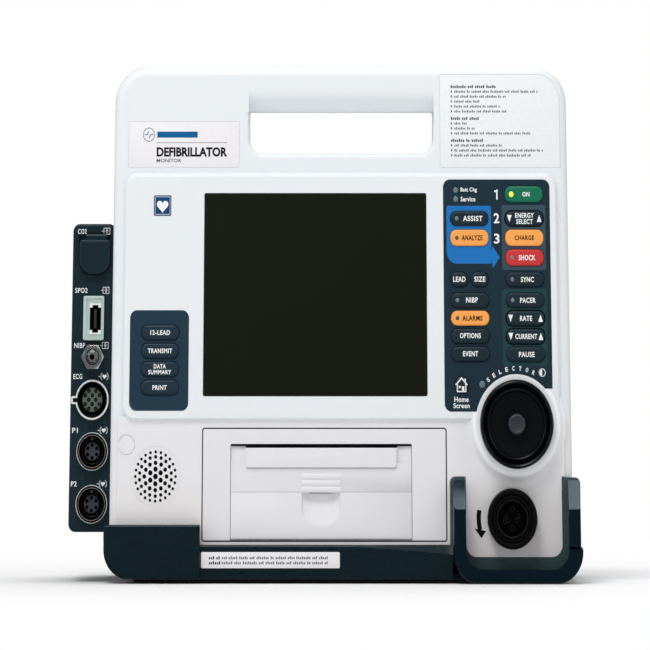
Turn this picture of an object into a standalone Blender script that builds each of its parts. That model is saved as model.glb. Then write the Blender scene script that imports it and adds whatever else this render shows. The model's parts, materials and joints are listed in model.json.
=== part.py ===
"""Hospital monitor and defibrillator: two case shells on a dark tray, with keys, dial, sockets and printer.

+X is the operator's right, the front faces -Y, and +Z is up. The origin is at the bottom centre of the
whole object. Every length below is in millimetres, and becomes metres where a mesh is made.
"""

import math

import bmesh
import bpy
from mathutils import Matrix, Vector

MM = 0.001
GAP = 0.3  # air between two pieces that touch on the real object

# Stations along Y, front to back
FAR_FRONT = -120.0  # where a cutter starts, ahead of everything
GUARD_FRONT = -108.5
BUMPER_FRONT = -99.0
TRAY_FRONT = -95.0
PLATFORM_FACE = -91.0
LOWER_FACE = -88.6  # the front below the platform
CASE_FACE = -86.0
CASE_INSIDE = -82.5
BOARD_FRONT = -79.0
CASE_PARTING = -36.0
REAR_FACE = 104.0
BATTERY_END = 108.5

# Front case
CASE = (-158.0, 182.0, 23.2, 317.3)  # left, right, bottom, top
CASE_TOP_CORNER = 24.0
CASE_BOTTOM_CORNER = 6.0
CASE_EDGE = 7.0
WALL = 3.0
HANDLE_HOLE = (-56.5, 81.3, 262.1, 288.5)
HANDLE_HOLE_CORNER = 9.0
HANDLE_ROUNDING = 15.0
CAVITY_TOP = 252.0  # below the rear case's top, so that the shells close on each other
PLATFORM = (-149.0, 173.0, 98.0, 248.6)
PLATFORM_CORNER = 8.0
PLATFORM_WALL = 4.0
LOWER_FRONT = (-153.0, 177.0, 25.5, 100.0)
APRON = (103.6, 173.9, 15.5, 66.0)
APRON_CORNER = 7.5

# Display
DISPLAY = (-89.8, 75.8, 112.3, 237.0)
WINDOW_THICKNESS = 1.6
MODULE_THICKNESS = 6.5

# Key panels and keys
PANEL_THICKNESS = 2.0
PANEL_LEDGE = 2.2
RIGHT_PANEL = (88.8, 168.1, 103.0, 245.5)
RIGHT_PANEL_LOW_EDGE = 117.0
LEFT_PANEL = (-144.2, -101.0, 103.5, 164.4)
PANEL_CORNER = 5.0
KEY_PROUD = 1.4
KEY_TRAVEL = 1.0
KEY_CLEARANCE = 0.35
ROCKER_CLEARANCE = 0.65
KEY_WING = 0.8
KEY_BACK = BOARD_FRONT - KEY_TRAVEL - 0.4
WIDE_KEY = 28.6
SMALL_KEY = 13.0
TALL = 10.2
LOW = 9.2
KEY_CORNER = 4.2
RIGHT_COLUMN = 149.0
MIDDLE_COLUMN = 108.0
LEFT_COLUMN = -122.0
HOME_KEY = (101.1, 119.0, 5.3)  # centre x and z, radius
ROCKERS = ("key_energy", "key_rate", "key_current")
ROCKER_PIVOT_Y = -84.0

# Selector dial
DIAL = (141.4, 95.3)
DIAL_RADIUS = 27.1
DIAL_GRIP_RADIUS = 20.5
DIAL_TRAVEL = 0.8
DIAL_BOSS_TOP = 29.6
DIAL_BOSS_FOOT = 35.5
PANEL_BITE = 30.5  # radius that the dial's ring takes out of the right panel
DIAL_BOSS_FACE = -94.0
DIAL_FRONT = -107.0
SHAFT_RADIUS = 3.0

# Therapy socket
THERAPY = (137.4, 38.4)
THERAPY_RADIUS = 18.3
THERAPY_BORE = 12.3
THERAPY_INSERT = 9.75
THERAPY_NECK = 14.5  # the part that passes through the case

# Side module and its sockets
MODULE = (-188.6, -158.3, 29.8, 218.3)
MODULE_FRONT = -64.0
MODULE_BACK = 72.0
MODULE_WALL = 9.0
SPO2 = (-180.0, -164.5, 146.2, 173.6)
NIBP = (-172.6, 136.0)
NIBP_NUT_RADIUS = 8.5
ECG = (-172.4, 109.8)
ECG_RADIUS = 12.3
PRESSURE_SOCKETS = {"p1_socket": 78.4, "p2_socket": 46.6}
PRESSURE_X = -171.8
PRESSURE_RADIUS = 11.6
CO2_LID = (-183.6, -160.8, 187.1, 208.3)
CO2_HINGE = (-67.6, 210.6)  # y and z of the lid's axis

# Printer
PRINTER = (-89.6, 89.1, 25.2, 92.3)
DOOR = (-69.0, 63.8, 25.7, 81.9)
DOOR_FACE = -89.0
DOOR_THICKNESS = 2.8
DOOR_HINGE = (-87.6, 27.1)  # y and z
PAPER_SLOT = 1.3
PAPER_BAR_PROUD = 1.6
TUB = (-74.5, 69.5, 28.4, 86.4)
TUB_BACK = -37.0
TUB_WALL = 2.5
PLATEN = (-76.0, 73.5)  # y and z
PLATEN_RADIUS = 5.0
GEAR_MODULE = 0.7
PLATEN_TEETH = 24
PINION_TEETH = 12
GEAR_FACE = (56.0, 61.0)
MOTOR_RISE = 3.0
MOTOR_RADIUS = 6.5
PAPER_ROLL = (-56.0, 49.0, 16.5)  # y, z, radius

# Base
TRAY = (-161.8, 186.0, 2.4, 22.8)
TRAY_BACK = 102.0
TRAY_CORNER = 18.0
BUMPER = (-161.8, -91.3, 2.4, 34.8)
GUARD = (93.9, 188.6, 0.0, 61.5)
GUARD_INSIDE = (103.0, 178.4, 8.4)
GUARD_BACK = CASE_FACE - GAP
GUARD_WEB_FACE = -88.4
ARM_MARGIN = 2.2
ARM_SEAT_CORNER = 4.0
FOOT_HEIGHT = 2.1

# Rear case and batteries
REAR_TOP_FRONT = 256.0
REAR_TOP_BACK = 236.0
REAR_TOP_CORNER = 18.0
REAR_EDGE = 12.0
REAR_WALL = 6.0
BATTERY_CENTRES = {"battery_1": -72.0, "battery_2": 72.0}
BATTERY_WIDTH = 90.0
BATTERY_BOTTOM, BATTERY_TOP = 56.0, 101.0
BATTERY_FRONT = 0.0
WELL_WALL = 2.5

# Speaker
SPEAKER = (-124.4, 63.6)
GRILLE_RINGS = ((0.0, 1, 1.4), (4.4, 6, 1.3), (8.2, 12, 1.1), (11.8, 18, 0.95), (14.8, 24, 0.8))


def linear(level):
    """A display colour level from 0 to 255 as linear light."""
    value = level / 255
    return value / 12.92 if value <= 0.04045 else ((value + 0.055) / 1.055) ** 2.4


def material(name, red, green, blue, roughness, metallic=0.0):
    made = bpy.data.materials.get(name) or bpy.data.materials.new(name)
    made.use_nodes = True
    shader = made.node_tree.nodes["Principled BSDF"]
    shader.inputs["Base Color"].default_value = (linear(red), linear(green), linear(blue), 1)
    shader.inputs["Roughness"].default_value = roughness
    shader.inputs["Metallic"].default_value = metallic
    return made


def finish(name, bm, surface, origin=(0, 0, 0)):
    """Closes a bmesh in millimetres into an object in metres, whose origin is at the given point."""
    bmesh.ops.translate(bm, verts=bm.verts, vec=-Vector(origin))
    bmesh.ops.scale(bm, verts=bm.verts, vec=(MM, MM, MM))
    bmesh.ops.recalc_face_normals(bm, faces=bm.faces)
    mesh = bpy.data.meshes.new(name)
    bm.to_mesh(mesh)
    bm.free()
    made = bpy.data.objects.new(name, mesh)
    made.location = Vector(origin) * MM
    bpy.context.scene.collection.objects.link(made)
    if surface:
        mesh.materials.append(surface)
        mesh.shade_smooth()
        mesh.set_sharp_from_angle(angle=math.radians(32))
    return made


def loft(rings, closed=False):
    """A bmesh skinned over rings of equally many points, with flat ends unless it closes on itself."""
    bm = bmesh.new()
    rows = [[bm.verts.new(point) for point in ring] for ring in rings]
    count = len(rows[0])
    spans = list(zip(rows, rows[1:]))
    if closed:
        spans.append((rows[-1], rows[0]))
    for first, second in spans:
        for i in range(count):
            j = (i + 1) % count
            bm.faces.new((first[i], first[j], second[j], second[i]))
    if not closed:
        bm.faces.new(rows[0])
        bm.faces.new(rows[-1])
    return bm


def arc(x, z, radius, start, end, steps):
    angles = (math.radians(start + (end - start) * i / steps) for i in range(steps + 1))
    return [(x + radius * math.cos(a), z + radius * math.sin(a)) for a in angles]


def outline(box, radii, inset=0.0, steps=5):
    """A rounded rectangle, counter-clockwise from its lower right. Radii: lower right, upper right, upper
    left, lower left."""
    left, right, bottom, top = box
    reach = [max(radius, inset + 0.05) for radius in radii]
    corners = (
        (right - reach[0], bottom + reach[0], 270),
        (right - reach[1], top - reach[1], 0),
        (left + reach[2], top - reach[2], 90),
        (left + reach[3], bottom + reach[3], 180),
    )
    points = []
    for (x, z, start), radius in zip(corners, reach):
        points += arc(x, z, radius - inset, start, start + 90, steps)
    return points


def block(name, box, radii, front, back, surface=None, edge=0.0, edge_steps=3, steps=5, origin=(0, 0, 0)):
    """A rounded rectangle extruded along Y, with its front edge rounded by edge."""
    rings = []
    for i in range(edge_steps + 1 if edge else 0):
        angle = math.pi / 2 * i / edge_steps
        rings.append((edge * (1 - math.sin(angle)), front + edge * (1 - math.cos(angle))))
    rings = rings or [(0.0, front)]
    rings.append((0.0, back))
    bm = loft([[(x, y, z) for x, z in outline(box, radii, inset, steps)] for inset, y in rings])
    return finish(name, bm, surface, origin)


def cuboid(name, low, high, surface=None):
    bm = bmesh.new()
    bmesh.ops.create_cube(bm, size=1)
    size = Vector(high) - Vector(low)
    bmesh.ops.scale(bm, verts=bm.verts, vec=size)
    bmesh.ops.translate(bm, verts=bm.verts, vec=Vector(low) + size / 2)
    return finish(name, bm, surface)


def turned(name, centre, profile, surface=None, segments=24, ring=False, axis="Y"):
    """A shape turned about Y or X. The profile's points are (radius, place along the axis); a ring's
    profile closes on itself."""
    rings = []
    for radius, along in profile:
        circle = arc(0, 0, radius, 0, 360 * (segments - 1) / segments, segments - 1)
        if axis == "Y":
            rings.append([(centre[0] + a, along, centre[1] + b) for a, b in circle])
        else:
            rings.append([(along, centre[0] + a, centre[1] + b) for a, b in circle])
    first = profile[0][1]
    origin = (centre[0], first, centre[1]) if axis == "Y" else (first, centre[0], centre[1])
    return finish(name, loft(rings, ring), surface, origin if surface else (0, 0, 0))


def side_prism(name, points, left, right, surface=None):
    """A polygon of (y, z) points extruded along X."""
    return finish(name, loft([[(x, y, z) for y, z in points] for x in (left, right)]), surface)


def combine(target, other, operation):
    other.hide_render = True
    other.display_type = "WIRE"
    modifier = target.modifiers.new(other.name, "BOOLEAN")
    modifier.operation = operation
    modifier.object = other
    modifier.solver = "EXACT"


def cut(target, *cutters):
    for cutter in cutters:
        combine(target, cutter, "DIFFERENCE")


def add(target, *pieces):
    for piece in pieces:
        combine(target, piece, "UNION")


def grown(box, by):
    return (box[0] - by, box[1] + by, box[2] - by, box[3] + by)


# Case shells


def grille_holes():
    """One cutter that holds a small six-sided rod for each sound hole."""
    bm = bmesh.new()
    for radius, count, hole in GRILLE_RINGS:
        for x, z in arc(*SPEAKER, radius, 0, 360 * (count - 1) / count, max(count - 1, 1))[:count]:
            rod = bmesh.ops.create_cone(
                bm, cap_ends=True, segments=6, radius1=hole, radius2=hole, depth=8
            )["verts"]
            bmesh.ops.transform(bm, matrix=rod_turn(x, z), verts=rod)
    return finish("cut_grille", bm, None)


def rod_turn(x, z):
    return Matrix.Translation((x, CASE_FACE + 1, z)) @ Matrix.Rotation(math.pi / 2, 4, "X")


def handle_rounding(name, face, inward):
    """The wedge that leaves the grip bar's lower edge round. Inward is +1 at the front, -1 at the back."""
    radius = HANDLE_ROUNDING if inward > 0 else 12.0
    bottom = HANDLE_HOLE[3]
    centre_y, centre_z = face + inward * radius, bottom + radius
    points = [(face - inward * 2, centre_z), (face, centre_z)]
    for i in range(1, 7):
        angle = math.pi / 2 * i / 6
        points.append((centre_y - inward * radius * math.cos(angle), centre_z - radius * math.sin(angle)))
    points += [(centre_y, bottom - 8), (face - inward * 2, bottom - 8)]
    return side_prism(name, points, HANDLE_HOLE[0] - 0.8, HANDLE_HOLE[1] + 0.8)


def panel_outline_cutters(name, by, front, back):
    """What a dial leaves of the right panel's lower right corner: the ring round the dial, and the strip
    below the panel's raised lower edge."""
    left, right, bottom, _ = RIGHT_PANEL
    around = turned(name + "_dial", DIAL, ((PANEL_BITE + by, front), (PANEL_BITE + by, back)), segments=40)
    low_corner = cuboid(
        name + "_corner", (DIAL[0], front, bottom - 5), (right + 5, back, RIGHT_PANEL_LOW_EDGE + by)
    )
    return around, low_corner


def raised(name, box, radii, front, back):
    """A low step of the front, with a soft rim."""
    return block(name, box, radii, front, back, edge=1.6, edge_steps=2, steps=4)


def front_case():
    white = material("white_case", 240, 241, 245, 0.42)
    corners = (CASE_BOTTOM_CORNER, CASE_TOP_CORNER, CASE_TOP_CORNER, CASE_BOTTOM_CORNER)
    case = block("front_case", CASE, corners, CASE_FACE, CASE_PARTING, white, CASE_EDGE, 4, 6)
    platform_corners = (PLATFORM_CORNER,) * 4
    panel_corners = (PANEL_CORNER,) * 4
    arm_corners = (1.0, ARM_SEAT_CORNER, ARM_SEAT_CORNER, 1.0)
    hole_corners = (HANDLE_HOLE_CORNER, 2, 2, HANDLE_HOLE_CORNER)
    left_arm, right_arm = arm_seat(GUARD[0] - ARM_MARGIN, APRON[0]), arm_seat(APRON[1], CASE[1] + 5)
    left_panel_seat = grown(LEFT_PANEL, GAP)
    boss_profile = (
        (DIAL_BOSS_TOP, DIAL_BOSS_FACE),
        (DIAL_BOSS_FOOT - 1, PLATFORM_FACE + 1),
        (DIAL_BOSS_FOOT, CASE_INSIDE),
    )
    add(
        case,
        raised("platform", PLATFORM, platform_corners, PLATFORM_FACE, CASE_FACE + 1),
        raised("lower_front", LOWER_FRONT, (4.0,) * 4, LOWER_FACE, CASE_FACE + 1),
        raised("apron", APRON, (APRON_CORNER, 3, 3, APRON_CORNER), LOWER_FACE, CASE_INSIDE),
        turned("dial_boss", DIAL, boss_profile, segments=40),
    )
    inside = (CASE[0] + WALL, CASE[1] - WALL, CASE[2] + WALL, CAVITY_TOP)
    platform_inside = grown(PLATFORM, -5.0)
    cut(
        case,
        block("cut_inside", inside, (4, 12, 12, 4), CASE_INSIDE, CASE_PARTING + 5, steps=3),
        block(
            "cut_platform_inside",
            (platform_inside[0], platform_inside[1], 105.5, platform_inside[3]),
            (4, 4, 4, 4),
            PLATFORM_FACE + PLATFORM_WALL,
            CASE_INSIDE + 1,
            steps=2,
        ),
        block("cut_handle", HANDLE_HOLE, hole_corners, FAR_FRONT, 0, steps=4),
        handle_rounding("cut_handle_front", CASE_FACE, 1),
        handle_rounding("cut_handle_back", CASE_PARTING, -1),
        block("cut_window_seat", grown(DISPLAY, GAP), (1.3,) * 4, FAR_FRONT, window_back() + GAP, steps=2),
        block("cut_window", grown(DISPLAY, -3.5), (1.0,) * 4, FAR_FRONT, -84, steps=2),
        block("cut_left_seat", left_panel_seat, panel_corners, FAR_FRONT, panel_back() + GAP, steps=3),
        block("cut_left", grown(LEFT_PANEL, -PANEL_LEDGE), (3.0,) * 4, FAR_FRONT, -84, steps=2),
        right_opening("cut_right_seat", GAP, panel_back() + GAP),
        right_opening("cut_right", -PANEL_LEDGE, CASE_INSIDE + 1),
        bore("cut_shaft", DIAL, SHAFT_RADIUS + 0.6, 16),
        bore("cut_therapy", THERAPY, THERAPY_NECK + 0.4, 28),
        block("cut_printer", grown(TUB, 0.4), (2.0,) * 4, FAR_FRONT, CASE_INSIDE + 5, steps=2),
        block("cut_printer_seat", grown(PRINTER, GAP), (2.0,) * 4, FAR_FRONT, CASE_FACE, steps=2),
        block("cut_left_arm_seat", left_arm, arm_corners, FAR_FRONT, CASE_FACE),
        block("cut_right_arm_seat", right_arm, arm_corners, FAR_FRONT, CASE_FACE),
        grille_holes(),
    )


def bore(name, centre, radius, segments):
    """A cutter for a round hole through the front."""
    return turned(name, centre, ((radius, FAR_FRONT), (radius, CASE_INSIDE + 12)), segments=segments)


def arm_seat(left, right):
    """The recess in the lower front that one arm of the guard stands in."""
    return (left, right, CASE[2] - 8, GUARD[3] + ARM_MARGIN)


def right_opening(name, by, back):
    """The right panel's outline, with the bites of the dial ring and of the raised lower edge taken out."""
    made = block(name, grown(RIGHT_PANEL, by), (PANEL_CORNER,) * 4, FAR_FRONT, back, steps=3)
    cut(made, *panel_outline_cutters(name, -by, -130, 0))
    return made


def panel_front():
    return PLATFORM_FACE + 0.2


def panel_back():
    return panel_front() + PANEL_THICKNESS


def window_back():
    return PLATFORM_FACE + 0.2 + WINDOW_THICKNESS


def rear_case():
    white = material("white_rear_case", 232, 233, 237, 0.5)
    left, right, bottom, _ = CASE
    rings = []
    stations = [(CASE_PARTING + GAP, 0.0, REAR_TOP_FRONT)]
    for i in range(5):
        angle = math.pi / 2 * i / 4
        inset = REAR_EDGE * (1 - math.cos(angle))
        y = REAR_FACE - REAR_EDGE * (1 - math.sin(angle))
        stations.append((y, inset, REAR_TOP_BACK + 1.5 * (4 - i) / 4))
    for y, inset, top in stations:
        corners = (CASE_BOTTOM_CORNER, REAR_TOP_CORNER, REAR_TOP_CORNER, CASE_BOTTOM_CORNER)
        shape = outline((left, right, bottom, top), corners, inset, 4)
        rings.append([(x, y, z) for x, z in shape])
    case = finish("rear_case", loft(rings), white)
    inside = (left + REAR_WALL, right - REAR_WALL, bottom + REAR_WALL, REAR_TOP_BACK - REAR_WALL)
    cut(case, block("cut_rear", inside, (4, 12, 12, 4), CASE_PARTING - 5, REAR_FACE - WALL, steps=3))
    for name, x in BATTERY_CENTRES.items():
        half = BATTERY_WIDTH / 2 + GAP
        well = (x - half, x + half, BATTERY_BOTTOM - GAP, BATTERY_TOP + GAP)
        wall = grown(well, WELL_WALL)
        front = BATTERY_FRONT - GAP - WELL_WALL
        add(case, block("well_" + name, wall, (4,) * 4, front, REAR_FACE - 1, steps=2))
        cut(case, block("cut_" + name, well, (3,) * 4, BATTERY_FRONT - GAP, REAR_FACE + 9, steps=2))


def base_tray():
    dark = material("tray_nylon", 24, 44, 52, 0.45)
    corners = (TRAY_CORNER, 0.5, 0.5, TRAY_CORNER)
    tray = block("base_tray", TRAY, corners, TRAY_FRONT, TRAY_BACK, dark, 2.0, 2, 5)
    inside = (TRAY[0] + 4.5, TRAY[1] - 4.5, TRAY[2] + WALL, TRAY[3] + 20)
    guard_seat_end = (TRAY[1] + 5, CASE_INSIDE + 1.5, TRAY[3] + 1)
    corners = (0.5, 2.5, 2.5, 20.0)
    add(tray, block("bumper", BUMPER, corners, BUMPER_FRONT, LOWER_FACE - GAP, edge=2.5, steps=5))
    cut(
        tray,
        block("cut_tray", inside, (14, 0.5, 0.5, 14), CASE_INSIDE, TRAY_BACK - 4, steps=4),
        cuboid("cut_guard_seat", (GUARD[0] - GAP, FAR_FRONT, -1), guard_seat_end),
    )


def corner_guard():
    dark = material("guard_nylon", 30, 48, 56, 0.38)
    left, right, bottom, top = GUARD
    guard = block("corner_guard", GUARD, (17.0, 3.0, 3.0, 17.0), GUARD_FRONT, GUARD_BACK, dark, 3.0, 3, 6)
    inner_left, inner_right, inner_bottom = GUARD_INSIDE
    pocket = (inner_left, inner_right, inner_bottom, top + 20)
    slope = [(GUARD_FRONT - 5, top - 23), (GUARD_BACK - 3.5, top + 0.5), (GUARD_BACK - 3.5, top + 20)]
    slope.append((GUARD_FRONT - 5, top + 20))
    cut(
        guard,
        block("cut_pocket", pocket, (11.0, 0.5, 0.5, 11.0), -130, GUARD_WEB_FACE, steps=5),
        block("cut_apron", grown(APRON, GAP), (APRON_CORNER, 0.5, 0.5, APRON_CORNER), -130, -70, steps=5),
        cuboid("cut_case_side", (APRON[0] - 1, -130, APRON[3] - 8), (APRON[1] + 3, -70, top + 20)),
        side_prism("cut_arm_tops", slope, left - 5, right + 5),
    )


def feet():
    rubber = material("foot_rubber", 26, 27, 29, 0.8)
    for name, left in (("foot_left", -140.0), ("foot_right", 136.0)):
        cuboid(name, (left, -72, 0), (left + 22, 84, FOOT_HEIGHT), rubber)


# Display and keys


def display():
    glass = material("display_glass", 34, 36, 28, 0.15)
    steel = material("display_frame", 150, 153, 156, 0.4, 0.9)
    block("display_window", DISPLAY, (1.0,) * 4, panel_front(), window_back(), glass, steps=2)
    module_front = PLATFORM_FACE + PLATFORM_WALL + GAP
    low = (DISPLAY[0] - 3.5, module_front, DISPLAY[2] - 4)
    cuboid("display_module", low, (DISPLAY[1] + 3.5, module_front + MODULE_THICKNESS, DISPLAY[3] + 4), steel)


def key_table():
    """Every key as name: (centre x, centre z, width, height, display colour)."""
    dark, orange = (38, 57, 67), (246, 163, 82)
    keys = {
        "key_on": (RIGHT_COLUMN, 236.5, WIDE_KEY, TALL, (0, 112, 82)),
        "key_energy": (RIGHT_COLUMN, 221.4, WIDE_KEY, LOW, dark),
        "key_charge": (RIGHT_COLUMN, 209.4, WIDE_KEY, TALL, orange),
        "key_shock": (RIGHT_COLUMN, 197.1, WIDE_KEY, TALL, (200, 50, 48)),
        "key_sync": (RIGHT_COLUMN, 183.6, WIDE_KEY, LOW, dark),
        "key_pacer": (RIGHT_COLUMN, 170.8, WIDE_KEY, LOW, dark),
        "key_rate": (RIGHT_COLUMN, 159.7, WIDE_KEY, LOW, dark),
        "key_current": (RIGHT_COLUMN, 148.6, WIDE_KEY, LOW, dark),
        "key_pause": (RIGHT_COLUMN, 137.6, WIDE_KEY, LOW, dark),
        "key_assist": (MIDDLE_COLUMN, 221.4, WIDE_KEY, LOW, dark),
        "key_analyze": (MIDDLE_COLUMN, 209.4, WIDE_KEY, TALL, orange),
        "key_lead": (MIDDLE_COLUMN - 7.8, 183.6, SMALL_KEY, LOW, dark),
        "key_size": (MIDDLE_COLUMN + 7.4, 183.6, SMALL_KEY, LOW, dark),
        "key_nibp": (MIDDLE_COLUMN, 170.8, WIDE_KEY, LOW, dark),
        "key_alarms": (MIDDLE_COLUMN, 159.8, WIDE_KEY, LOW, orange),
        "key_options": (MIDDLE_COLUMN, 148.8, WIDE_KEY, LOW, dark),
        "key_event": (MIDDLE_COLUMN, 137.8, WIDE_KEY, LOW, dark),
    }
    for i, name in enumerate(("key_twelve_lead", "key_transmit", "key_summary", "key_print")):
        keys[name] = (LEFT_COLUMN, 151.0 - 11.2 * i, 28.0, LOW, dark)
    return keys


def key_box(x, z, width, height, by=0.0):
    return grown((x - width / 2, x + width / 2, z - height / 2, z + height / 2), by)


def key_rings(shape):
    """A key's rings from its crowned front back to its stem, with a wing on either side behind the panel.
    Shape gives the outline for an inset and a wing width."""
    front, ledge = panel_front() - KEY_PROUD, panel_back() + GAP
    stations = (
        (0.8, 0.0, front),
        (0.0, 0.0, front + 0.8),
        (0.0, 0.0, ledge),
        (0.0, KEY_WING, ledge + 0.02),
        (0.0, KEY_WING, ledge + 1.4),
        (0.0, 0.0, ledge + 1.42),
        (0.0, 0.0, KEY_BACK),
    )
    return [[(x, y, z) for x, z in shape(inset, wing)] for inset, wing, y in stations]


def keys():
    for name, (x, z, width, height, colour) in key_table().items():
        surface = material("%s_rubber" % name, *colour, 0.55)

        def shape(inset, wing, x=x, z=z, width=width, height=height):
            return outline(key_box(x, z, width + 2 * wing, height), (KEY_CORNER,) * 4, inset, 2)

        pivot_y = ROCKER_PIVOT_Y if name in ROCKERS else 0.0
        finish(name, loft(key_rings(shape)), surface, (x, pivot_y, z))
    x, z, radius = HOME_KEY
    surface = material("key_home_rubber", 44, 66, 80, 0.55)
    round_key = key_rings(lambda inset, wing: arc(x, z, radius - inset + wing, 0, 337.5, 15))
    finish("key_home", loft(round_key), surface, (x, 0, z))


def key_holes(names):
    """One cutter for the panel holes of these keys."""
    bm = bmesh.new()
    table = key_table()
    for name in names:
        x, z, width, height, _ = table[name]
        by = ROCKER_CLEARANCE if name in ROCKERS else KEY_CLEARANCE
        shape = outline(key_box(x, z, width, height, by), (KEY_CORNER + by,) * 4, 0, 2)
        hole = loft([[(a, y, b) for a, b in shape] for y in (-100, -80)])
        copy = bpy.data.meshes.new("hole")
        hole.to_mesh(copy)
        hole.free()
        bm.from_mesh(copy)
        bpy.data.meshes.remove(copy)
    return finish("cut_holes_" + names[0], bm, None)


def key_panels():
    slate = material("right_panel_slate", 38, 60, 74, 0.5)
    blue_slate = material("left_panel_slate", 42, 68, 86, 0.5)
    left_keys = [name for name, key in key_table().items() if key[0] < 0]
    right_keys = [name for name, key in key_table().items() if key[0] > 0]
    corners = (PANEL_CORNER,) * 4
    right = block("right_key_panel", RIGHT_PANEL, corners, panel_front(), panel_back(), slate, steps=4)
    cut(right, *panel_outline_cutters("cut_right_panel", 0.0, -130, 0), key_holes(right_keys))
    x, z, radius = HOME_KEY
    hole = radius + KEY_CLEARANCE
    cut(right, turned("cut_home", (x, z), ((hole, -100), (hole, -80)), segments=24))
    left = block("left_key_panel", LEFT_PANEL, corners, panel_front(), panel_back(), blue_slate, steps=4)
    cut(left, key_holes(left_keys))


# Selector dial


def dial():
    black = material("dial_black", 26, 28, 33, 0.45)
    steel = material("plunger_steel", 160, 162, 166, 0.35, 1.0)
    housing = material("encoder_housing", 60, 90, 70, 0.6)
    skirt_back = DIAL_BOSS_FACE - DIAL_TRAVEL - 0.4
    profile = (
        (6.0, DIAL_FRONT + 1.4),
        (6.4, DIAL_FRONT + 2.6),
        (15.5, DIAL_FRONT + 3.4),
        (18.6, DIAL_FRONT + 0.6),
        (19.6, DIAL_FRONT),
        (DIAL_GRIP_RADIUS, DIAL_FRONT + 0.8),
        (DIAL_GRIP_RADIUS + 1.0, DIAL_FRONT + 6.0),
        (DIAL_RADIUS - 2.0, DIAL_FRONT + 7.2),
        (DIAL_RADIUS, DIAL_FRONT + 9.0),
        (DIAL_RADIUS, skirt_back),
        (SHAFT_RADIUS, skirt_back + 0.02),
        (SHAFT_RADIUS, -72.0),
    )
    turned("selector_dial", DIAL, profile, black, 32)
    bore = SHAFT_RADIUS + 0.3
    encoder = ((9.0, CASE_INSIDE + GAP), (9.0, -72.6), (bore, -72.6), (bore, CASE_INSIDE + GAP))
    turned("dial_encoder", DIAL, encoder, housing, 24, ring=True)
    turned("dial_plunger", DIAL, ((5.0, -71.6), (5.0, -70.2), (1.6, -70.1), (1.6, -66.0)), steel, 16)


# Therapy socket and side module


def therapy_socket():
    black = material("therapy_black", 28, 30, 34, 0.4)
    insert = material("therapy_insert_black", 20, 21, 24, 0.5)
    barrel, floor = 14.5, -75.0
    profile = (
        (THERAPY_BORE, floor),
        (THERAPY_BORE, -100.2),
        (THERAPY_BORE + 0.8, -101.0),
        (THERAPY_RADIUS - 1.5, -101.0),
        (THERAPY_RADIUS, -99.5),
        (THERAPY_RADIUS, LOWER_FACE - GAP),
        (barrel, LOWER_FACE - GAP),
        (barrel, -72.0),
    )
    turned("therapy_socket", THERAPY, profile, black, 28)
    tip = THERAPY_INSERT
    turned("therapy_insert", THERAPY, ((tip - 0.8, -94.0), (tip, -93.2), (tip, floor - GAP)), insert, 24)


def socket_bore(x, z, radius):
    return turned("cut_socket_%d" % round(z), (x, z), ((radius, FAR_FRONT), (radius, -50)), segments=24)


def side_module():
    dark = material("module_charcoal", 40, 56, 64, 0.5)
    corners = (3.0, 3.0, 5.0, 5.0)
    module = block("side_module", MODULE, corners, MODULE_FRONT, MODULE_BACK, dark, 2.0, 2, 4)
    inner_front = MODULE_FRONT + MODULE_WALL
    cut(
        module,
        cuboid(
            "cut_module",
            (MODULE[0] + WALL, inner_front, MODULE[2] + WALL),
            (MODULE[1] + 5, MODULE_BACK - WALL, MODULE[3] - WALL),
        ),
        socket_bore(*ECG, ECG_RADIUS - 1.5 + GAP),
        block("cut_spo2", grown(SPO2, -1.5 + GAP), (1.0,) * 4, FAR_FRONT, -50, steps=2),
        socket_bore(*NIBP, 5.0 + GAP),
        socket_bore(*lid_centre(), 7.0 + GAP),
    )
    for z in PRESSURE_SOCKETS.values():
        cut(module, socket_bore(PRESSURE_X, z, PRESSURE_RADIUS - 1.5 + GAP))


def lid_centre():
    return ((CO2_LID[0] + CO2_LID[1]) / 2, (CO2_LID[2] + CO2_LID[3]) / 2 - 0.5)


def round_socket(name, centre, radius, bore, boss, surface):
    """A flanged socket with a blind bore and, when boss is given, a contact boss on the bore's floor."""
    face, floor, flange_back = MODULE_FRONT - 4.5, -57.0, MODULE_FRONT - GAP
    profile = [(boss, floor - 8), (boss, floor)] if boss else []
    profile += [
        (bore, floor + 0.02),
        (bore, face + 0.6),
        (bore + 0.6, face),
        (radius - 0.8, face),
        (radius, face + 0.8),
        (radius, flange_back),
        (radius - 1.5, flange_back),
        (radius - 1.5, -50.0),
    ]
    turned(name, centre, profile, surface, 20)


def module_sockets():
    grey = material("ecg_ring_grey", 178, 186, 184, 0.4)
    charcoal = material("socket_charcoal", 60, 72, 78, 0.45)
    pale = material("ecg_insert_pale", 196, 200, 196, 0.5)
    round_socket("ecg_socket", ECG, ECG_RADIUS, 9.0, None, grey)
    turned("ecg_insert", ECG, ((7.0, -63.6), (7.6, -63.0), (7.6, -57.3)), pale, 24)
    for name, z in PRESSURE_SOCKETS.items():
        round_socket(name, (PRESSURE_X, z), PRESSURE_RADIUS, 8.6, 5.75, charcoal)


def spo2_socket():
    frame = material("spo2_frame", 168, 190, 182, 0.45)
    socket = block("spo2_socket", SPO2, (1.2,) * 4, MODULE_FRONT - 3.5, MODULE_FRONT - GAP, frame, 0.6, 2, 3)
    left, right, bottom, top = SPO2
    hollow = (left + 4.9, right - 2.3, bottom + 3.9, top - 4.9)
    add(socket, block("spo2_barrel", grown(SPO2, -1.5), (0.8,) * 4, MODULE_FRONT - 1, -50.0, steps=2))
    cut(socket, block("cut_spo2_hollow", hollow, (0.8,) * 4, FAR_FRONT, -55.0, steps=2))


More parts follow.
